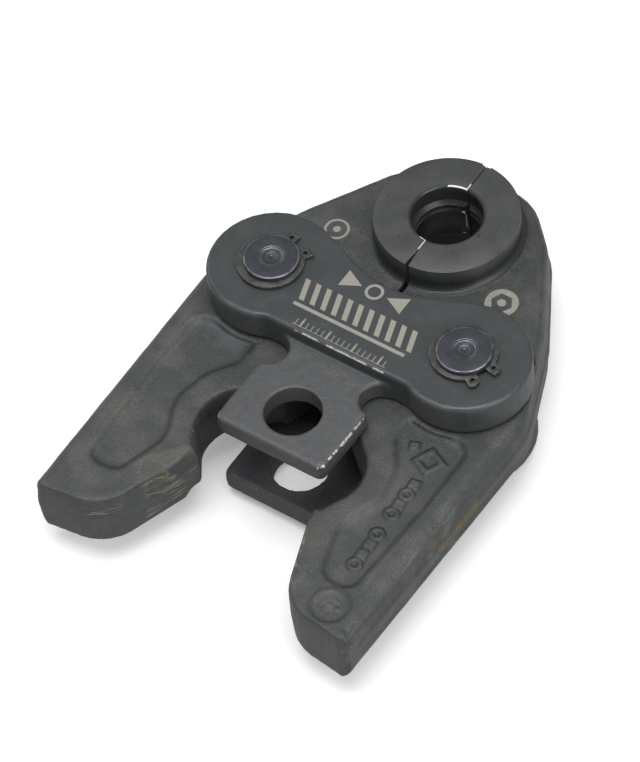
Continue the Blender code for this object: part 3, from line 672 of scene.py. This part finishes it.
def make_die(side_name, side):
    """One half of the die, riding its arm."""
    centre = ORIGIN + Vector((0, DIE_FORWARD, 0)) * MM
    die = turn(side_name + "_die", centre, die_profile(), DIE_SIDES, closed=True)
    cut_block(die, (side * (SPLIT_HALF - 20), DIE_FORWARD, 0), (40, 60, DIE_TALL))
    for behind in (-1, 1):
        corner = (side * 0.0015, DIE_FORWARD + behind * CHAMFER_AWAY, 0)
        cut_block(die, corner, (CHAMFER, CHAMFER, DIE_TALL), 45)
    relief = (side * -RELIEF_PLACE[0], RELIEF_PLACE[1], 0)
    cut_block(die, relief, (2, 12, DIE_TALL), side * RELIEF_TURN)
    notch = (side * (NOTCH_HALF - 3), DIE_FORWARD + BOSS_RADIUS + 3 - NOTCH_DEPTH, 0)
    cut_block(die, notch, (6, 6, DIE_TALL))
    break_edges(die, 0.12, 30)
    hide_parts(side_name + "_jaw_arm")
    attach(die, side_name + "_arm")
    return die


dies = [make_die("left", -1), make_die("right", 1)]

# %% [markdown]
# ## The side plates
# A side plate is forged too, but its head is ground flat. Its tang is rougher, and its edges are struck as
# the jaw goes in and out of the tool, so most of the nicks go there and along the head's rear. Bright lines
# along the head's rear edge, on the lobes' edges, down the tang's edges and on the far rim of its hole are
# worn, and painted lighter as highlights too.

# %% Make both side plates
PLATE_HALF_GAP = 8.5
TANG_TOP = 14.2
TANG_WEAR_AND_HIGHLIGHTS = (
    ((15.6, -25.6), (15.4, -35.8), (15.2, -40.0)),
    ((14.2, -43.4), (15.4, -42.0)),
    ((-15.4, -41.6), (-14.2, -43.3)),
)
TANG_NICKS = (((-4.2, -43.6), (-2.2, -43.7)), ((-0.6, -43.7), (0.4, -43.7)), ((2.4, -43.7), (5.6, -43.7)))
TANG_DUST = (((-1.5, -17.6), (7.5, -18.3)), ((-10.6, -17.2), (-9.4, -19.0)))
HOLE = (0.0, -32.7)
HOLE_RADIUS = 7.1
TANG_START = (14.6, 15.6)
TANG_NICK_COUNT = 16
HEAD_NICK_COUNT = 9


def make_plate(side_name, facing_up):
    """One finished side plate."""
    node = side_name + "_side_plate"
    plate = refine(copy_of(node, side_name + "_plate"))
    net = Net(plate)
    x, y, z = net.points.T
    from_hole = np.hypot(x - HOLE[0], y - HOLE[1]) - HOLE_RADIUS
    tang = ramp(-y, *TANG_START)
    away = ramp(from_hole, 0.6, 1.4)
    net.relax(tang * away, 4)
    skin = lumps(net.points, 4.0, 6) + 0.6 * lumps(net.points, 1.5, 7)
    facing = net.normals()
    sides = ramp(1 - np.abs(facing[:, 2]), 0.8, 0.95) * ramp(-y, 18.0, 20.0) * away
    trimmed = np.abs(np.abs(z) - (PLATE_HALF_GAP + TANG_TOP) / 2)
    seam = 1 - ramp(trimmed, 0.5, 1.0)
    net.points += facing * (0.05 * (skin - 1) * tang * away + 0.2 * (seam - 1) * sides)[:, None]
    edges = net.spread((net.bulge() > PROUD).astype(float), 2)
    net.relax(edges * away * ramp(-y, 6.0, 12.0), 9)
    x, y, z = net.points.T
    outer = z * facing_up > PLATE_HALF_GAP + 0.3
    struck = strike_nicks(net, TANG_NICK_COUNT, outer & (y < -16))
    struck = 0.6 * np.maximum(struck, strike_nicks(net, HEAD_NICK_COUNT, outer & (y > -17)))
    dusty = np.zeros(len(x))
    if facing_up > 0:
        upper = ramp(z, 12.4, 13.2)
        grain = ramp(lumps(net.points, 0.8, 14), -0.5, 0.1)
        # Worn and painted highlight: bright streaks down the tang's edges and corners, and a faint line on
        # the far rim of its hole.
        rubbed = np.maximum(0.72 * strokes(x, y, TANG_WEAR_AND_HIGHLIGHTS, 0.5), 0.4 * strokes(x, y, TANG_NICKS, 0.45))
        rim = (1 - ramp(np.abs(from_hole), 0.2, 0.6)) * ramp(y, -31.0, -28.0) * 0.3
        struck = np.maximum(struck, np.maximum(rubbed, rim) * grain * upper * (y < -16))
        # Worn and painted highlight: a bright line along the head's rear edge, and broken lines on the right
        # lobe's edges.
        wall = np.median(y[(np.abs(x) < 8) & (y < -10) & (np.abs(z - HEAD_TOP + 2.0) < 0.5)])
        from_edge = np.hypot(y - wall - 0.3, z - HEAD_TOP + 0.3)
        rear_edge_highlight = (1 - ramp(from_edge, 0.15, 0.55)) * ramp(x, -13.5, -11.0) * (1 - ramp(x, 13.5, 15.0))
        lobe_edge_highlight = 0.3 * ramp(edges, 0.4, 0.8) * ramp(z, HEAD_TOP - 1.0, HEAD_TOP - 0.7) * (y < -8) * (x > 16)
        patches = ramp(lumps(net.points, 1.6, 15), -0.6, 0.0)
        struck = np.max((struck, 0.75 * rear_edge_highlight * patches, lobe_edge_highlight * patches, 0.5 * rear_edge_highlight), axis=0)
        dusty = strokes(x, y, TANG_DUST, 2.4) * upper
    net.keep(tang=tang, dusty=dusty)
    keep_wear(net, struck, 0.3)
    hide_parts(node)
    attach(plate, "frame")
    return plate


plates = [make_plate("upper", 1), make_plate("lower", -1)]

# %% [markdown]
# ## The pivot pins
# A pin's end shows a centre mark, fine turning rings and a small edge. Its shaft has the size of the bores,
# and the end that stands out of each plate is a little thicker, as the photo shows, with a groove between
# the two for the retaining ring. It goes through the same lathe as the die, from one end to the other.

# %% Turn the pins
PIN_SIDES = 128
SHAFT_RADIUS = 6.5
PIN_RADIUS = 7.0
GROOVE_RADIUS = 6.0
RING_ROOM = 1.3
PIN_FACE = (
    (0.0, 0.42), (0.1, 0.16), (0.32, 0.0), (3.7, 0.0), (3.8, 0.05), (4.28, 0.05),
    (4.4, 0.12), (5.65, 0.12), (5.8, 0.18), (6.45, 0.18), (6.65, 0.3),
)


def pin_end(top, head):
    """The (radius, height) steps of one end of a pin, from its groove to its middle."""
    groove = [(SHAFT_RADIUS, head), (GROOVE_RADIUS, head + 0.02), (GROOVE_RADIUS, head + RING_ROOM)]
    face = [(PIN_RADIUS - inwards, top - down) for inwards, down in PIN_FACE]
    return groove + [(PIN_RADIUS, head + RING_ROOM + 0.02)] + face


def make_pin(side_name):
    """One finished pivot pin."""
    node = side_name + "_pivot_pin"
    low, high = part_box(node)
    upper = pin_end((high.z - PARTING) / MM, HEAD_TOP)
    lower = pin_end((PARTING - low.z) / MM, (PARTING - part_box("lower_side_plate")[0].z) / MM)
    profile = [(radius, -height) for radius, height in reversed(lower)] + upper
    pin = turn(side_name + "_pin", middle(node), profile, PIN_SIDES)
    break_edges(pin, 0.04, 25)
    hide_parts(node)
    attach(pin, "frame")
    return pin


pins = {side_name: make_pin(side_name) for side_name in ("left", "right")}

# %% [markdown]
# ## The retaining rings
# A retaining ring is stamped from spring steel, with a hole in each lug for the pliers. The CAD copy has the
# right outline, so it only needs its stamped edges broken. Those edges get a second finish of their own: a
# stamped edge is bare, and its pale colour is also a painted highlight.

# %% Break the edges of the rings
def make_ring(node):
    """One finished retaining ring."""
    ring = copy_of(node, node.replace("retaining_ring", "ring"))
    only(ring)
    bpy.ops.object.mode_set(mode="EDIT")
    bpy.ops.mesh.select_all(action="SELECT")
    bpy.ops.mesh.dissolve_limited(angle_limit=math.radians(1))
    bpy.ops.object.mode_set(mode="OBJECT")
    ring.data.materials.append(None)
    ring.data.materials.append(None)
    break_edges(ring, 0.17, 40)
    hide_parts(node)
    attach(ring, "frame")
    return ring


rings = [
    make_ring(side + "_" + level + "_retaining_ring")
    for side in ("left", "right")
    for level in ("upper", "lower")
]

# %% [markdown]
# ## The closing spring
# The spring's two legs press on the arms and are pushed in as the noses open. The CAD wire is cut where its
# legs leave the coil. The coil stays on the frame, and each leg is cut out as a piece of its own.

# %% Part the legs from the coil
LEG_ROOT = -7.5
LEG_INSIDE = 1.5
LEG_DEPTH = 1.94
CUTTER_HALF = 20
CUTTER = [2 * CUTTER_HALF] * 3


def spring_leg(name, side, low):
    """One leg of the closing spring, cut out where it leaves the coil."""
    leg = copy_of("closing_spring", name)
    cut_block(leg, (0, LEG_ROOT + CUTTER_HALF, 0), CUTTER)
    cut_block(leg, (side * (LEG_INSIDE - CUTTER_HALF), 0, 0), CUTTER)
    cut_block(leg, (0, 0, side * (low - CUTTER_HALF)), CUTTER)
    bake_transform(leg)
    print(name, "has", len(leg.data.polygons), "faces")
    return leg


leg_level = (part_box("closing_spring")[1].z - PARTING) / MM - LEG_DEPTH
coil = copy_of("closing_spring", "spring_coil")
for side in (-1, 1):
    across, up = side * (LEG_INSIDE + CUTTER_HALF), side * (leg_level + CUTTER_HALF)
    cut_block(coil, (across, LEG_ROOT - CUTTER_HALF, up), CUTTER)
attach(coil, "frame")
left_leg = spring_leg("left_spring_leg", -1, leg_level)
right_leg = spring_leg("right_spring_leg", 1, leg_level)
spring_pieces = [coil, left_leg, right_leg]
for piece in spring_pieces:
    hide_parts("closing_spring")

# %% [markdown]
# ## Finishes
# Shader maths reads best as a formula. A small class wraps a node's output so that plus, minus and times
# add Math nodes. A second one holds a material, and makes any other node from its type, its settings and
# what feeds its sockets.

# %% Wrap sockets and nodes
SOFT_EDGE = 0.07


def operation(name, turned_round=False):
    """A method that puts a wire, and perhaps a second value, through a Math node."""

    def method(self, other=0.0):
        first, second = (other, self) if turned_round else (self, other)
        return self.finish.node("Math", {"operation": name}, {0: first, 1: second})

    return method


class Wire:
    """An output socket that can be used in a formula."""

    def __init__(self, finish, socket):
        self.finish = finish
        self.socket = socket

    __add__ = __radd__ = operation("ADD")
    __sub__ = operation("SUBTRACT")
    __rsub__ = operation("SUBTRACT", turned_round=True)
    __mul__ = __rmul__ = operation("MULTIPLY")
    __truediv__ = operation("DIVIDE")
    __abs__ = operation("ABSOLUTE")
    largest = operation("MAXIMUM")
    fraction = operation("FRACT")
    sine = operation("SINE")
    root = operation("SQRT")

    def ramp(self, low, high):
        """A smooth step from nought at low to one at high."""
        limits = {"Value": self, "From Min": low, "From Max": high}
        return self.finish.node("MapRange", {"interpolation_type": "SMOOTHSTEP"}, limits)

    def below(self, limit):
        """One where it lies below a limit, with a clean edge."""
        return (limit - self).ramp(-SOFT_EDGE, SOFT_EDGE)

    def near(self, middle, half):
        """One where it lies within a half width of a middle."""
        return abs(self - middle).below(half)

    def from_lines(self, pitch):
        """How far it is from the nearest of lines that lie a pitch apart."""
        return abs((self / pitch).fraction() - 0.5) * pitch


# %% Build a finish
class Finish:
    """A material under construction, with its Principled shader."""

    def __init__(self, name):
        self.material = bpy.data.materials.new(name)
        self.material.use_nodes = True
        self.tree = self.material.node_tree
        self.shader = self.tree.nodes["Principled BSDF"]

    def node(self, kind, settings=None, sockets=None, output=0):
        """Any shader node: its settings are set first, then its sockets get values or links."""
        made = self.tree.nodes.new("ShaderNode" + kind)
        for key, value in (settings or {}).items():
            setattr(made, key, value)
        for key, value in (sockets or {}).items():
            self.feed(made.inputs[key], value)
        return Wire(self, made.outputs[output])

    def feed(self, socket, value):
        """Link a wire to a socket, or set a plain value on it."""
        if isinstance(value, Wire):
            self.tree.links.new(value.socket, socket)
        else:
            socket.default_value = value

    def set(self, **sockets):
        """Feed the Principled shader's own sockets."""
        for key, value in sockets.items():
            self.feed(self.shader.inputs[key.replace("_", " ")], value)

    def place(self):
        """The point on the object, in metres."""
        return self.node("TexCoord", output="Object")

    def axes(self):
        """The point's three coordinates in millimetres from the middle of the jaw."""
        shifted = self.node("VectorMath", {"operation": "SUBTRACT"}, {0: self.place(), 1: tuple(ORIGIN)})
        scaled = self.node("VectorMath", {"operation": "SCALE"}, {0: shifted, "Scale": 1 / MM})
        return [self.node("SeparateXYZ", {}, {0: scaled}, axis) for axis in range(3)]

    def speckle(self, size, detail=2.0, roughness=0.5):
        """Noise with lumps of a size in millimetres."""
        scale = [1 / (size * MM)] * 3
        place = self.node("Mapping", {}, {"Vector": self.place(), "Scale": scale})
        values = {"Vector": place, "Scale": 1.0, "Detail": detail, "Roughness": roughness}
        return self.node("TexNoise", {}, values)

    def lines(self, across, along, width, length):
        """Broken lines of a width and length in millimetres: one on them, nought between them."""
        place = self.node("CombineXYZ", {}, {0: across / width, 1: along / length})
        noise = self.node("TexNoise", {}, {"Vector": place, "Scale": 1.0, "Detail": 1.0})
        return noise.ramp(0.56, 0.68)

    def mix(self, share, first, second):
        """A colour between two colours."""
        return self.node("Mix", {"data_type": "RGBA"}, {0: share, 6: first, 7: second}, 2)

    def coats(self, colour, *layers):
        """A colour under several thin coats, each with its share and its own colour."""
        for share, coat in layers:
            colour = self.mix(share, colour, coat)
        return colour

    def kept(self, name):
        """A value that was kept on the net's points."""
        return self.node("Attribute", {"attribute_name": name}, output="Fac")

    def bump(self, height, depth):
        """A normal from a height that reaches so many millimetres."""
        sockets = {"Height": height, "Strength": 1.0, "Distance": depth * MM}
        return self.node("Bump", {}, sockets)

    def away(self, x, y, centre):
        """How far x and y are from a centre."""
        dx = x - centre[0]
        dy = y - centre[1]
        return (dx * dx + dy * dy).root()


# %% [markdown]
# ## Dark forged steel
# Phosphated steel is nearly black and slightly green, and mottled where oil and dust have dried. Its skin is
# finely grained. Where it is rubbed the grey metal comes through, so its colour follows the wear and the
# traces that were kept on the net, broken up by noise so that they never look drawn. Hollows, the pocket's
# walls and the foot of the die are painted darker as shade, and a bluish patch by the left pocket is a
# painted sheen. The coats lie in the order in which they came: the skin first, then painted shade and rust,
# dust, scratches and bare edges. Laser marks are drawn with formulas, because the net is too coarse for
# their clean edges.

# %% Forged steel for the arms
FORGED = (0.060, 0.0665, 0.0640, 1)
FORGED_PALE = (0.094, 0.098, 0.091, 1)
FORGED_DARK = (0.026, 0.029, 0.031, 1)
BARE_STEEL = (0.78, 0.78, 0.75, 1)
PALE_DUST = (0.36, 0.36, 0.33, 1)
PALE_SCRATCH = (0.38, 0.36, 0.29, 1)
BROWN = (0.086, 0.080, 0.069, 1)
BLUISH_TINT_AND_SHEEN = (0.086, 0.097, 0.107, 1)
YELLOW = (0.19, 0.19, 0.05, 1)
RUST = (0.150, 0.098, 0.042, 1)
LASER_MARK = (0.345, 0.328, 0.28, 1)
LEFT_ICON = (-24.4, 21.8)
RIGHT_ICON = (23.3, 23.0)


def icons(finish, x, y, z):
    """A plain ring with a dot on the left nose, and a plain disc with a hexagon on the right one."""
    left = finish.away(x, y, LEFT_ICON)
    ring = left.near(2.9, 0.32) + left.below(0.95)
    right = finish.away(x, y, RIGHT_ICON)
    dx = abs(x - RIGHT_ICON[0])
    dy = abs(y - RIGHT_ICON[1])
    hexagon = dy.largest(dx * 0.866 + dy * 0.5)
    disc = right.below(4.2) - hexagon.below(2.5) + right.below(1.1)
    return (ring + disc) * z.ramp(9.2, 9.6)


def forged_finish(name):
    """The finish of both arms."""
    finish = Finish(name)
    x, y, z = finish.axes()
    blotch = finish.speckle(9.0, 3.0, 0.6)
    patch = finish.speckle(2.6, 4.0, 0.65)
    grain = finish.speckle(0.5, 3.0, 0.7)
    fine = finish.speckle(0.24, 2.0, 0.6)
    kept = finish.kept
    # Painted shade: hollows, the pocket's walls and the die's foot. The same coat also darkens the outlines
    # of the raised marks and the ground spot's lip.
    dirt = (kept("hollow") * 0.5).largest(kept("dirt") * (0.3 + 0.6 * patch))
    seam_dust = kept("seam") * patch.ramp(0.5, 0.8) * 0.5
    dusty = kept("dusty").largest(seam_dust).largest(blotch.ramp(0.5, 0.85) * 0.16)
    streaks = finish.lines(x + 0.4 * patch, y, 0.35, 14.0) * kept("streaky")
    scratched = (kept("scratched") * (0.3 + 1.2 * fine)).ramp(0.25, 0.75) * 0.6
    scored = finish.lines(z + 1.2 * patch, x + y, 0.27, 9.0) * kept("rubbed") * grain.ramp(0.3, 0.45)
    rubbed = (kept("worn") * (0.3 + 1.4 * fine)).ramp(0.45, 0.85)
    lasered = icons(finish, x, y, z) * (1 - grain.ramp(0.56, 0.74) * 0.6)
    colour = finish.coats(
        FORGED,
        (blotch.ramp(0.38, 0.68), FORGED_PALE),
        (grain.ramp(0.46, 0.70) * 0.75, FORGED_DARK),
        (kept("seam").ramp(0.4, 1.0) * 0.05, PALE_DUST),
        (kept("machined") * patch.ramp(0.3, 0.7) * 0.35, FORGED_PALE),
        # A bluish tint low on the left tail, and a painted bluish sheen by the left pocket.
        (kept("bluish_and_sheen") * 0.75, BLUISH_TINT_AND_SHEEN),
        (kept("brown") * (0.45 + patch * 0.7), BROWN),
        (kept("ground") * patch.ramp(0.4, 0.7) * 0.5, FORGED_PALE),
        (dirt.largest(kept("outline") * 0.9), FORGED_DARK),
        (kept("rusty") * patch.ramp(0.34, 0.62), RUST),
        (kept("yellow") * patch.ramp(0.3, 0.6), YELLOW),
        (fine.ramp(0.60, 0.70) * dusty, PALE_DUST),
        (streaks * blotch.ramp(0.35, 0.6) * 0.15, PALE_DUST),
        (scratched.largest(scored), PALE_SCRATCH),
        (rubbed * 0.8, BARE_STEEL),
        (lasered * 0.92, LASER_MARK),
    )
    finish.set(
        Base_Color=colour,
        Metallic=0.28,
        Roughness=0.40 - 0.08 * rubbed + 0.16 * (blotch - 0.5) + 0.1 * (grain - 0.5),
        Normal=finish.bump(grain + 0.8 * fine + 0.25 * patch, 0.13),
    )
    return finish.material


forged_steel = forged_finish("forged_steel_skin")
for arm in arms:
    arm.data.materials.append(forged_steel)

# %% [markdown]
# ## Bored and turned steel
# The die shares the dark skin of its arm, but a tool has cut it: its faces are even, with fine rings round
# the bore, and its chamfered corners are bare, painted near white as glints where the two halves meet. The
# bore and the foot of the wall are painted darker as shade, and the rib crests carry a painted highlight.

# %% The die's finish
DIE_SKIN = (0.067, 0.070, 0.071, 1)
DIE_PALE = (0.084, 0.088, 0.085, 1)
DIE_SHADE = (0.019, 0.021, 0.024, 1)
RIB_CREST_HIGHLIGHT = (0.2, 0.2, 0.19, 1)
PIT = (0.012, 0.013, 0.014, 1)
BARE_GLINT_STEEL = (0.9, 0.9, 0.86, 1)


def die_finish(name):
    """The finish of the die halves."""
    finish = Finish(name)
    x, y, z = finish.axes()
    away = finish.away(x, y, (0.0, DIE_FORWARD))
    blotch = finish.speckle(7.0, 3.0, 0.6)
    grain = finish.speckle(0.4, 3.0, 0.7)
    wobble = finish.speckle(3.0, 2.0)
    rings_of_turning = (away * 15.0 + wobble * 2.0).sine()
    # Painted shade: the die's wall darker towards its foot, and the bore darker inside.
    shaded_foot = (17.5 - z).ramp(0.6, 5.5) * away.ramp(17.8, 18.2) * 0.75
    bore = away.below(9.7) * 0.55
    # Painted highlight on the rib crests.
    crest_highlight = away.below(8.75) * wobble.ramp(0.35, 0.65) * 0.25
    behind = y.ramp(DIE_FORWARD, DIE_FORWARD + 1.0)
    # Painted glints: near white lines on the bare chamfers of the rim, along the split's edge and down the
    # seam in the bore.
    rim = away.near(BORE_RADIUS + 0.3, 0.17) * z.ramp(16.3, 16.5)
    far_rim_glint = rim * x.near(-2.6, 2.3) * behind
    near_rim_glint = rim * x.near(-1.2, 0.8) * (1 - behind)
    lip = x.near(0.0, 0.3) * (0 - x).ramp(-0.05, 0.05) * z.ramp(16.2, 16.5)
    lip = lip * away.below(3.6 * (1 - behind) + 2.2 * behind + BORE_RADIUS)
    tick = z.near(8.3, 0.24).largest(z.near(10.1, 0.14)).largest(z.near(-1.0, 0.14))
    seam = (x.near(-0.86, 0.14) * z.near(3.6, 4.8)).largest(tick * x.near(-1.6, 0.8))
    seam = seam * away.below(BORE_RADIUS + 0.5) * behind * wobble.ramp(0.36, 0.42)
    bare_glint = far_rim_glint.largest(near_rim_glint).largest(lip).largest(seam)
    pits = finish.speckle(1.4, 2.0).ramp(0.70, 0.74)
    colour = finish.coats(
        DIE_SKIN,
        (blotch.ramp(0.35, 0.7), DIE_PALE),
        (grain.ramp(0.55, 0.75) * 0.35, FORGED_DARK),
        (bore.largest(shaded_foot), DIE_SHADE),
        (crest_highlight, RIB_CREST_HIGHLIGHT),
        (pits * 0.8, PIT),
        (bare_glint, BARE_GLINT_STEEL),
    )
    finish.set(
        Base_Color=colour,
        Metallic=0.3 - 0.2 * bare_glint,
        Roughness=0.37 + 0.12 * (blotch - 0.5) - 0.1 * bore,
        Normal=finish.bump(rings_of_turning + 1.5 * grain, 0.007),
    )
    return finish.material


die_steel = die_finish("turned_die_steel")
for die in dies:
    die.data.materials.append(die_steel)

# %% [markdown]
# ## Blued plate steel
# The plates are the same steel with a colder, bluer finish: ground and even on the head, coarse and paler on
# the tang, and painted darker as shade on their inner faces. Their hollows are painted darker too, and
# bright lines along the head's rear edge, the lobes and the tang's edges are worn and painted as highlights.
# The head carries plain laser marks, frosted and cream against the dark skin: two arrowheads that close on a
# ring, a row of slanted bars over a long one, and a scale of fine strokes.

# %% Plate steel
PLATE = (0.060, 0.0665, 0.0695, 1)
PLATE_PALE = (0.092, 0.094, 0.098, 1)
PLATE_DARK = (0.027, 0.030, 0.034, 1)
BAR_PITCH = 3.12
FINE_PITCH = 1.5
COARSE_PITCH = 7.5


def head_marks(finish, x, y, z):
    """The laser marks on the upper plate's head."""
    slanted = x + 0.32 * y + 18.96
    bars = slanted.from_lines(BAR_PITCH).below(0.72) * y.near(-2.8, 3.1) * slanted.near(17.16, 16.5)
    under = y.near(-7.4, 0.5) * x.near(-0.6, 16.1)
    from_middle = abs(x + 1.5)
    ring = finish.away(x, y, (-1.5, 5.2)).near(2.0, 0.38)
    wedge = abs(y - 5.2).below((from_middle - 3.6) * 0.5) * from_middle.below(8.9)
    fine = x.from_lines(FINE_PITCH).below(0.195) * y.near(-11.8, 0.9)
    coarse = x.from_lines(COARSE_PITCH).below(0.3) * y.near(-11.5, 1.4)
    scale = (fine + coarse + y.near(-12.8, 0.14)) * x.near(0.0, 13.6) * 0.55
    shapes = bars + under + ring + wedge + scale.ramp(0.0, 1.0)
    return shapes.ramp(0.1, 0.9) * z.ramp(HEAD_TOP - 0.5, HEAD_TOP - 0.2)


def plate_finish(name):
    """The finish of both side plates."""
    finish = Finish(name)
    x, y, z = finish.axes()
    blotch = finish.speckle(7.0, 3.0, 0.6)
    patch = finish.speckle(2.2, 4.0, 0.65)
    grain = finish.speckle(0.45, 3.0, 0.7)
    fine = finish.speckle(0.22, 2.0, 0.6)
    tang = finish.kept("tang")
    dusty = (0.12 + 0.5 * tang * patch.ramp(0.4, 0.7)).largest(finish.kept("dusty"))
    lasered = head_marks(finish, x, y, z) * (1 - grain.ramp(0.55, 0.74) * 0.55)
    rubbed = (finish.kept("worn") * (0.3 + 1.4 * fine)).ramp(0.45, 0.85)
    colour = finish.coats(
        PLATE,
        (tang * (0.35 + 0.8 * patch), PLATE_PALE),
        (blotch.ramp(0.4, 0.75) * (1 - tang) * 0.35, PLATE_PALE),
        (grain.ramp(0.52, 0.74) * 0.35, PLATE_DARK),
        # Painted shade in the plate's hollows.
        (finish.kept("hollow") * 0.5, PLATE_DARK),
        # Painted shade on the plates' inner faces, between the plates.
        (z.near(0.0, PLATE_HALF_GAP + 0.35) * 0.62, PLATE_DARK),
        (fine.ramp(0.60, 0.70) * dusty, PALE_DUST),
        (lasered * 0.92, LASER_MARK),
        (rubbed * 0.9, BARE_STEEL),
    )
    finish.set(
        Base_Color=colour,
        Metallic=0.28,
        Roughness=0.36 + 0.06 * tang + 0.12 * (blotch - 0.5) + 0.2 * lasered,
        Normal=finish.bump((grain + 0.5 * patch) * (0.35 + tang), 0.11),
    )
    return finish.material


plate_steel = plate_finish("plate_steel_skin")
for plate in plates:
    plate.data.materials.append(plate_steel)

# %% [markdown]
# ## Turned pins, rings and the spring
# The pins are turned and blued, so they mirror the room in soft, dark rings. Light rings on the steps of
# their ends and on their chamfers are painted, as wear and as highlights. The retaining rings and the spring
# are oiled spring steel, nearly as dark as the plate, and bare only where their edges were broken. Those
# edges are painted pale, as bare steel and as a painted highlight.

# %% Pin and spring steel
PIN_BLUE = (0.080, 0.088, 0.104, 1)
PIN_GREY = (0.104, 0.106, 0.114, 1)
PIN_WORN_AND_HIGHLIGHT = (0.40, 0.42, 0.46, 1)
SPRING_DARK = (0.050, 0.051, 0.052, 1)
SPRING_PALE = (0.078, 0.076, 0.070, 1)
EDGE_HIGHLIGHT_DARK = (0.30, 0.29, 0.25, 1)
EDGE_HIGHLIGHT_PALE = (0.85, 0.82, 0.70, 1)


def pin_finish(name, centre):
    """The finish of one pin, with turning rings round its own axis."""
    finish = Finish(name)
    x, y, _ = finish.axes()
    offset = (centre - ORIGIN) / MM
    away = finish.away(x, y, (offset.x, offset.y))
    wobble = finish.speckle(2.5, 2.0)
    rings_of_turning = (away * 13.0 + wobble * 1.5).sine()
    stain = finish.speckle(3.0, 3.0, 0.6)
    # Worn and painted highlight: light rings on the steps of the end and on the chamfer, broken by noise.
    bright = away.near(2.66, 0.12).largest(away.near(3.25, 0.1) * 0.5).largest(away.near(1.28, 0.1) * 0.6)
    edge = away.near(PIN_RADIUS - 0.26, 0.18)
    worn = bright.largest(edge) * wobble.ramp(0.3, 0.62) * 0.5
    colour = finish.coats(PIN_BLUE, (stain.ramp(0.35, 0.75), PIN_GREY), (worn, PIN_WORN_AND_HIGHLIGHT))
    finish.set(
        Base_Color=colour,
        Metallic=0.75,
        Roughness=0.33 + 0.14 * (stain - 0.5),
        Normal=finish.bump(rings_of_turning, 0.0035),
    )
    return finish.material


def spring_finish(name, dark, pale, metallic):
    """The finish of the retaining rings and the closing spring, or of their bare edges with a painted
    highlight.
    """
    finish = Finish(name)
    stain = finish.speckle(1.6, 3.0, 0.6)
    grain = finish.speckle(0.3, 2.0, 0.6)
    colour = finish.mix(stain.ramp(0.36, 0.68), dark, pale)
    finish.set(
        Base_Color=colour,
        Metallic=metallic,
        Roughness=0.42 + 0.2 * (stain - 0.5),
        Normal=finish.bump(grain, 0.012),
    )
    return finish.material


for side_name, pin in pins.items():
    pin.data.materials.append(pin_finish(pin.name + "_steel", middle(side_name + "_pivot_pin")))
spring_steel = spring_finish("oiled_spring_steel", SPRING_DARK, SPRING_PALE, 0.35)
# Bare and painted highlight: the pale colour of the rings' broken edges.
bare_edge_highlight = spring_finish("bare_stamped_edge_highlight", EDGE_HIGHLIGHT_DARK, EDGE_HIGHLIGHT_PALE, 0.3)
for ring in rings:
    ring.data.materials[0] = spring_steel
    ring.data.materials[1] = bare_edge_highlight
for piece in spring_pieces:
    piece.data.materials.append(spring_steel)

# %% [markdown]
# ## Floor, light and camera
# The jaw lies on white paper in soft light: a dim white room, a large softbox overhead that lights its upper
# faces, and a weaker one on either side for its walls. The paper glows for the camera alone, which keeps it
# white and still shows the jaw's soft shadow. To everything else it is mid grey, as less light comes up from
# below in the photo.

# %% Floor
PAPER_SEEN = (0.9, 0.9, 0.9, 1)
PAPER_BOUNCE = (0.5, 0.5, 0.5, 1)
PAPER_GLOW = 0.25

bpy.ops.object.select_all(action="DESELECT")
bpy.ops.mesh.primitive_plane_add(size=6.0, location=(0, 0, 0))
floor = bpy.context.active_object
floor.name = "paper_floor"
paper = Finish("white_paper")
seen = paper.node("LightPath", output="Is Camera Ray")
paper.set(
    Base_Color=paper.mix(seen, PAPER_BOUNCE, PAPER_SEEN),
    Roughness=0.9,
    Emission_Color=paper.mix(seen, (0, 0, 0, 1), (1, 1, 1, 1)),
    Emission_Strength=PAPER_GLOW,
)
floor.data.materials.append(paper.material)

# %% Light
world = bpy.data.worlds.new("studio")
bpy.context.scene.world = world
world.use_nodes = True
background = world.node_tree.nodes["Background"]
background.inputs["Color"].default_value = (1, 1, 1, 1)
background.inputs["Strength"].default_value = 0.30


def soft_lamp(name, place, size, power):
    """A square lamp that faces the jaw."""
    bpy.ops.object.light_add(type="AREA", location=place)
    lamp = bpy.context.active_object
    lamp.name = name
    lamp.data.shape = "SQUARE"
    lamp.data.size = size
    lamp.data.energy = power
    lamp.rotation_euler = (ORIGIN - Vector(place)).to_track_quat("-Z", "Y").to_euler()


soft_lamp("overhead_softbox", (0.05, -0.12, 1.15), 0.8, 10.0)
soft_lamp("right_softbox", (0.85, -0.15, 0.50), 0.7, 4.6)
soft_lamp("left_softbox", (-0.9, 0.1, 0.5), 0.7, 1.6)

# %% Camera
CAMERA_PLACE = (448.56, -557.80, 920.31)
CAMERA_TURN = (37.4026, 4.4401, 34.1159)
FOCAL_LENGTH = 224.997

camera = bpy.data.objects.new("camera", bpy.data.cameras.new("camera"))
bpy.context.scene.collection.objects.link(camera)
camera.location = ORIGIN + Vector(CAMERA_PLACE) * MM
camera.rotation_euler = Euler([math.radians(angle) for angle in CAMERA_TURN])
camera.data.lens = FOCAL_LENGTH
camera.data.clip_start = 0.01
bpy.context.scene.camera = camera
bpy.context.scene.view_settings.view_transform = "Standard"
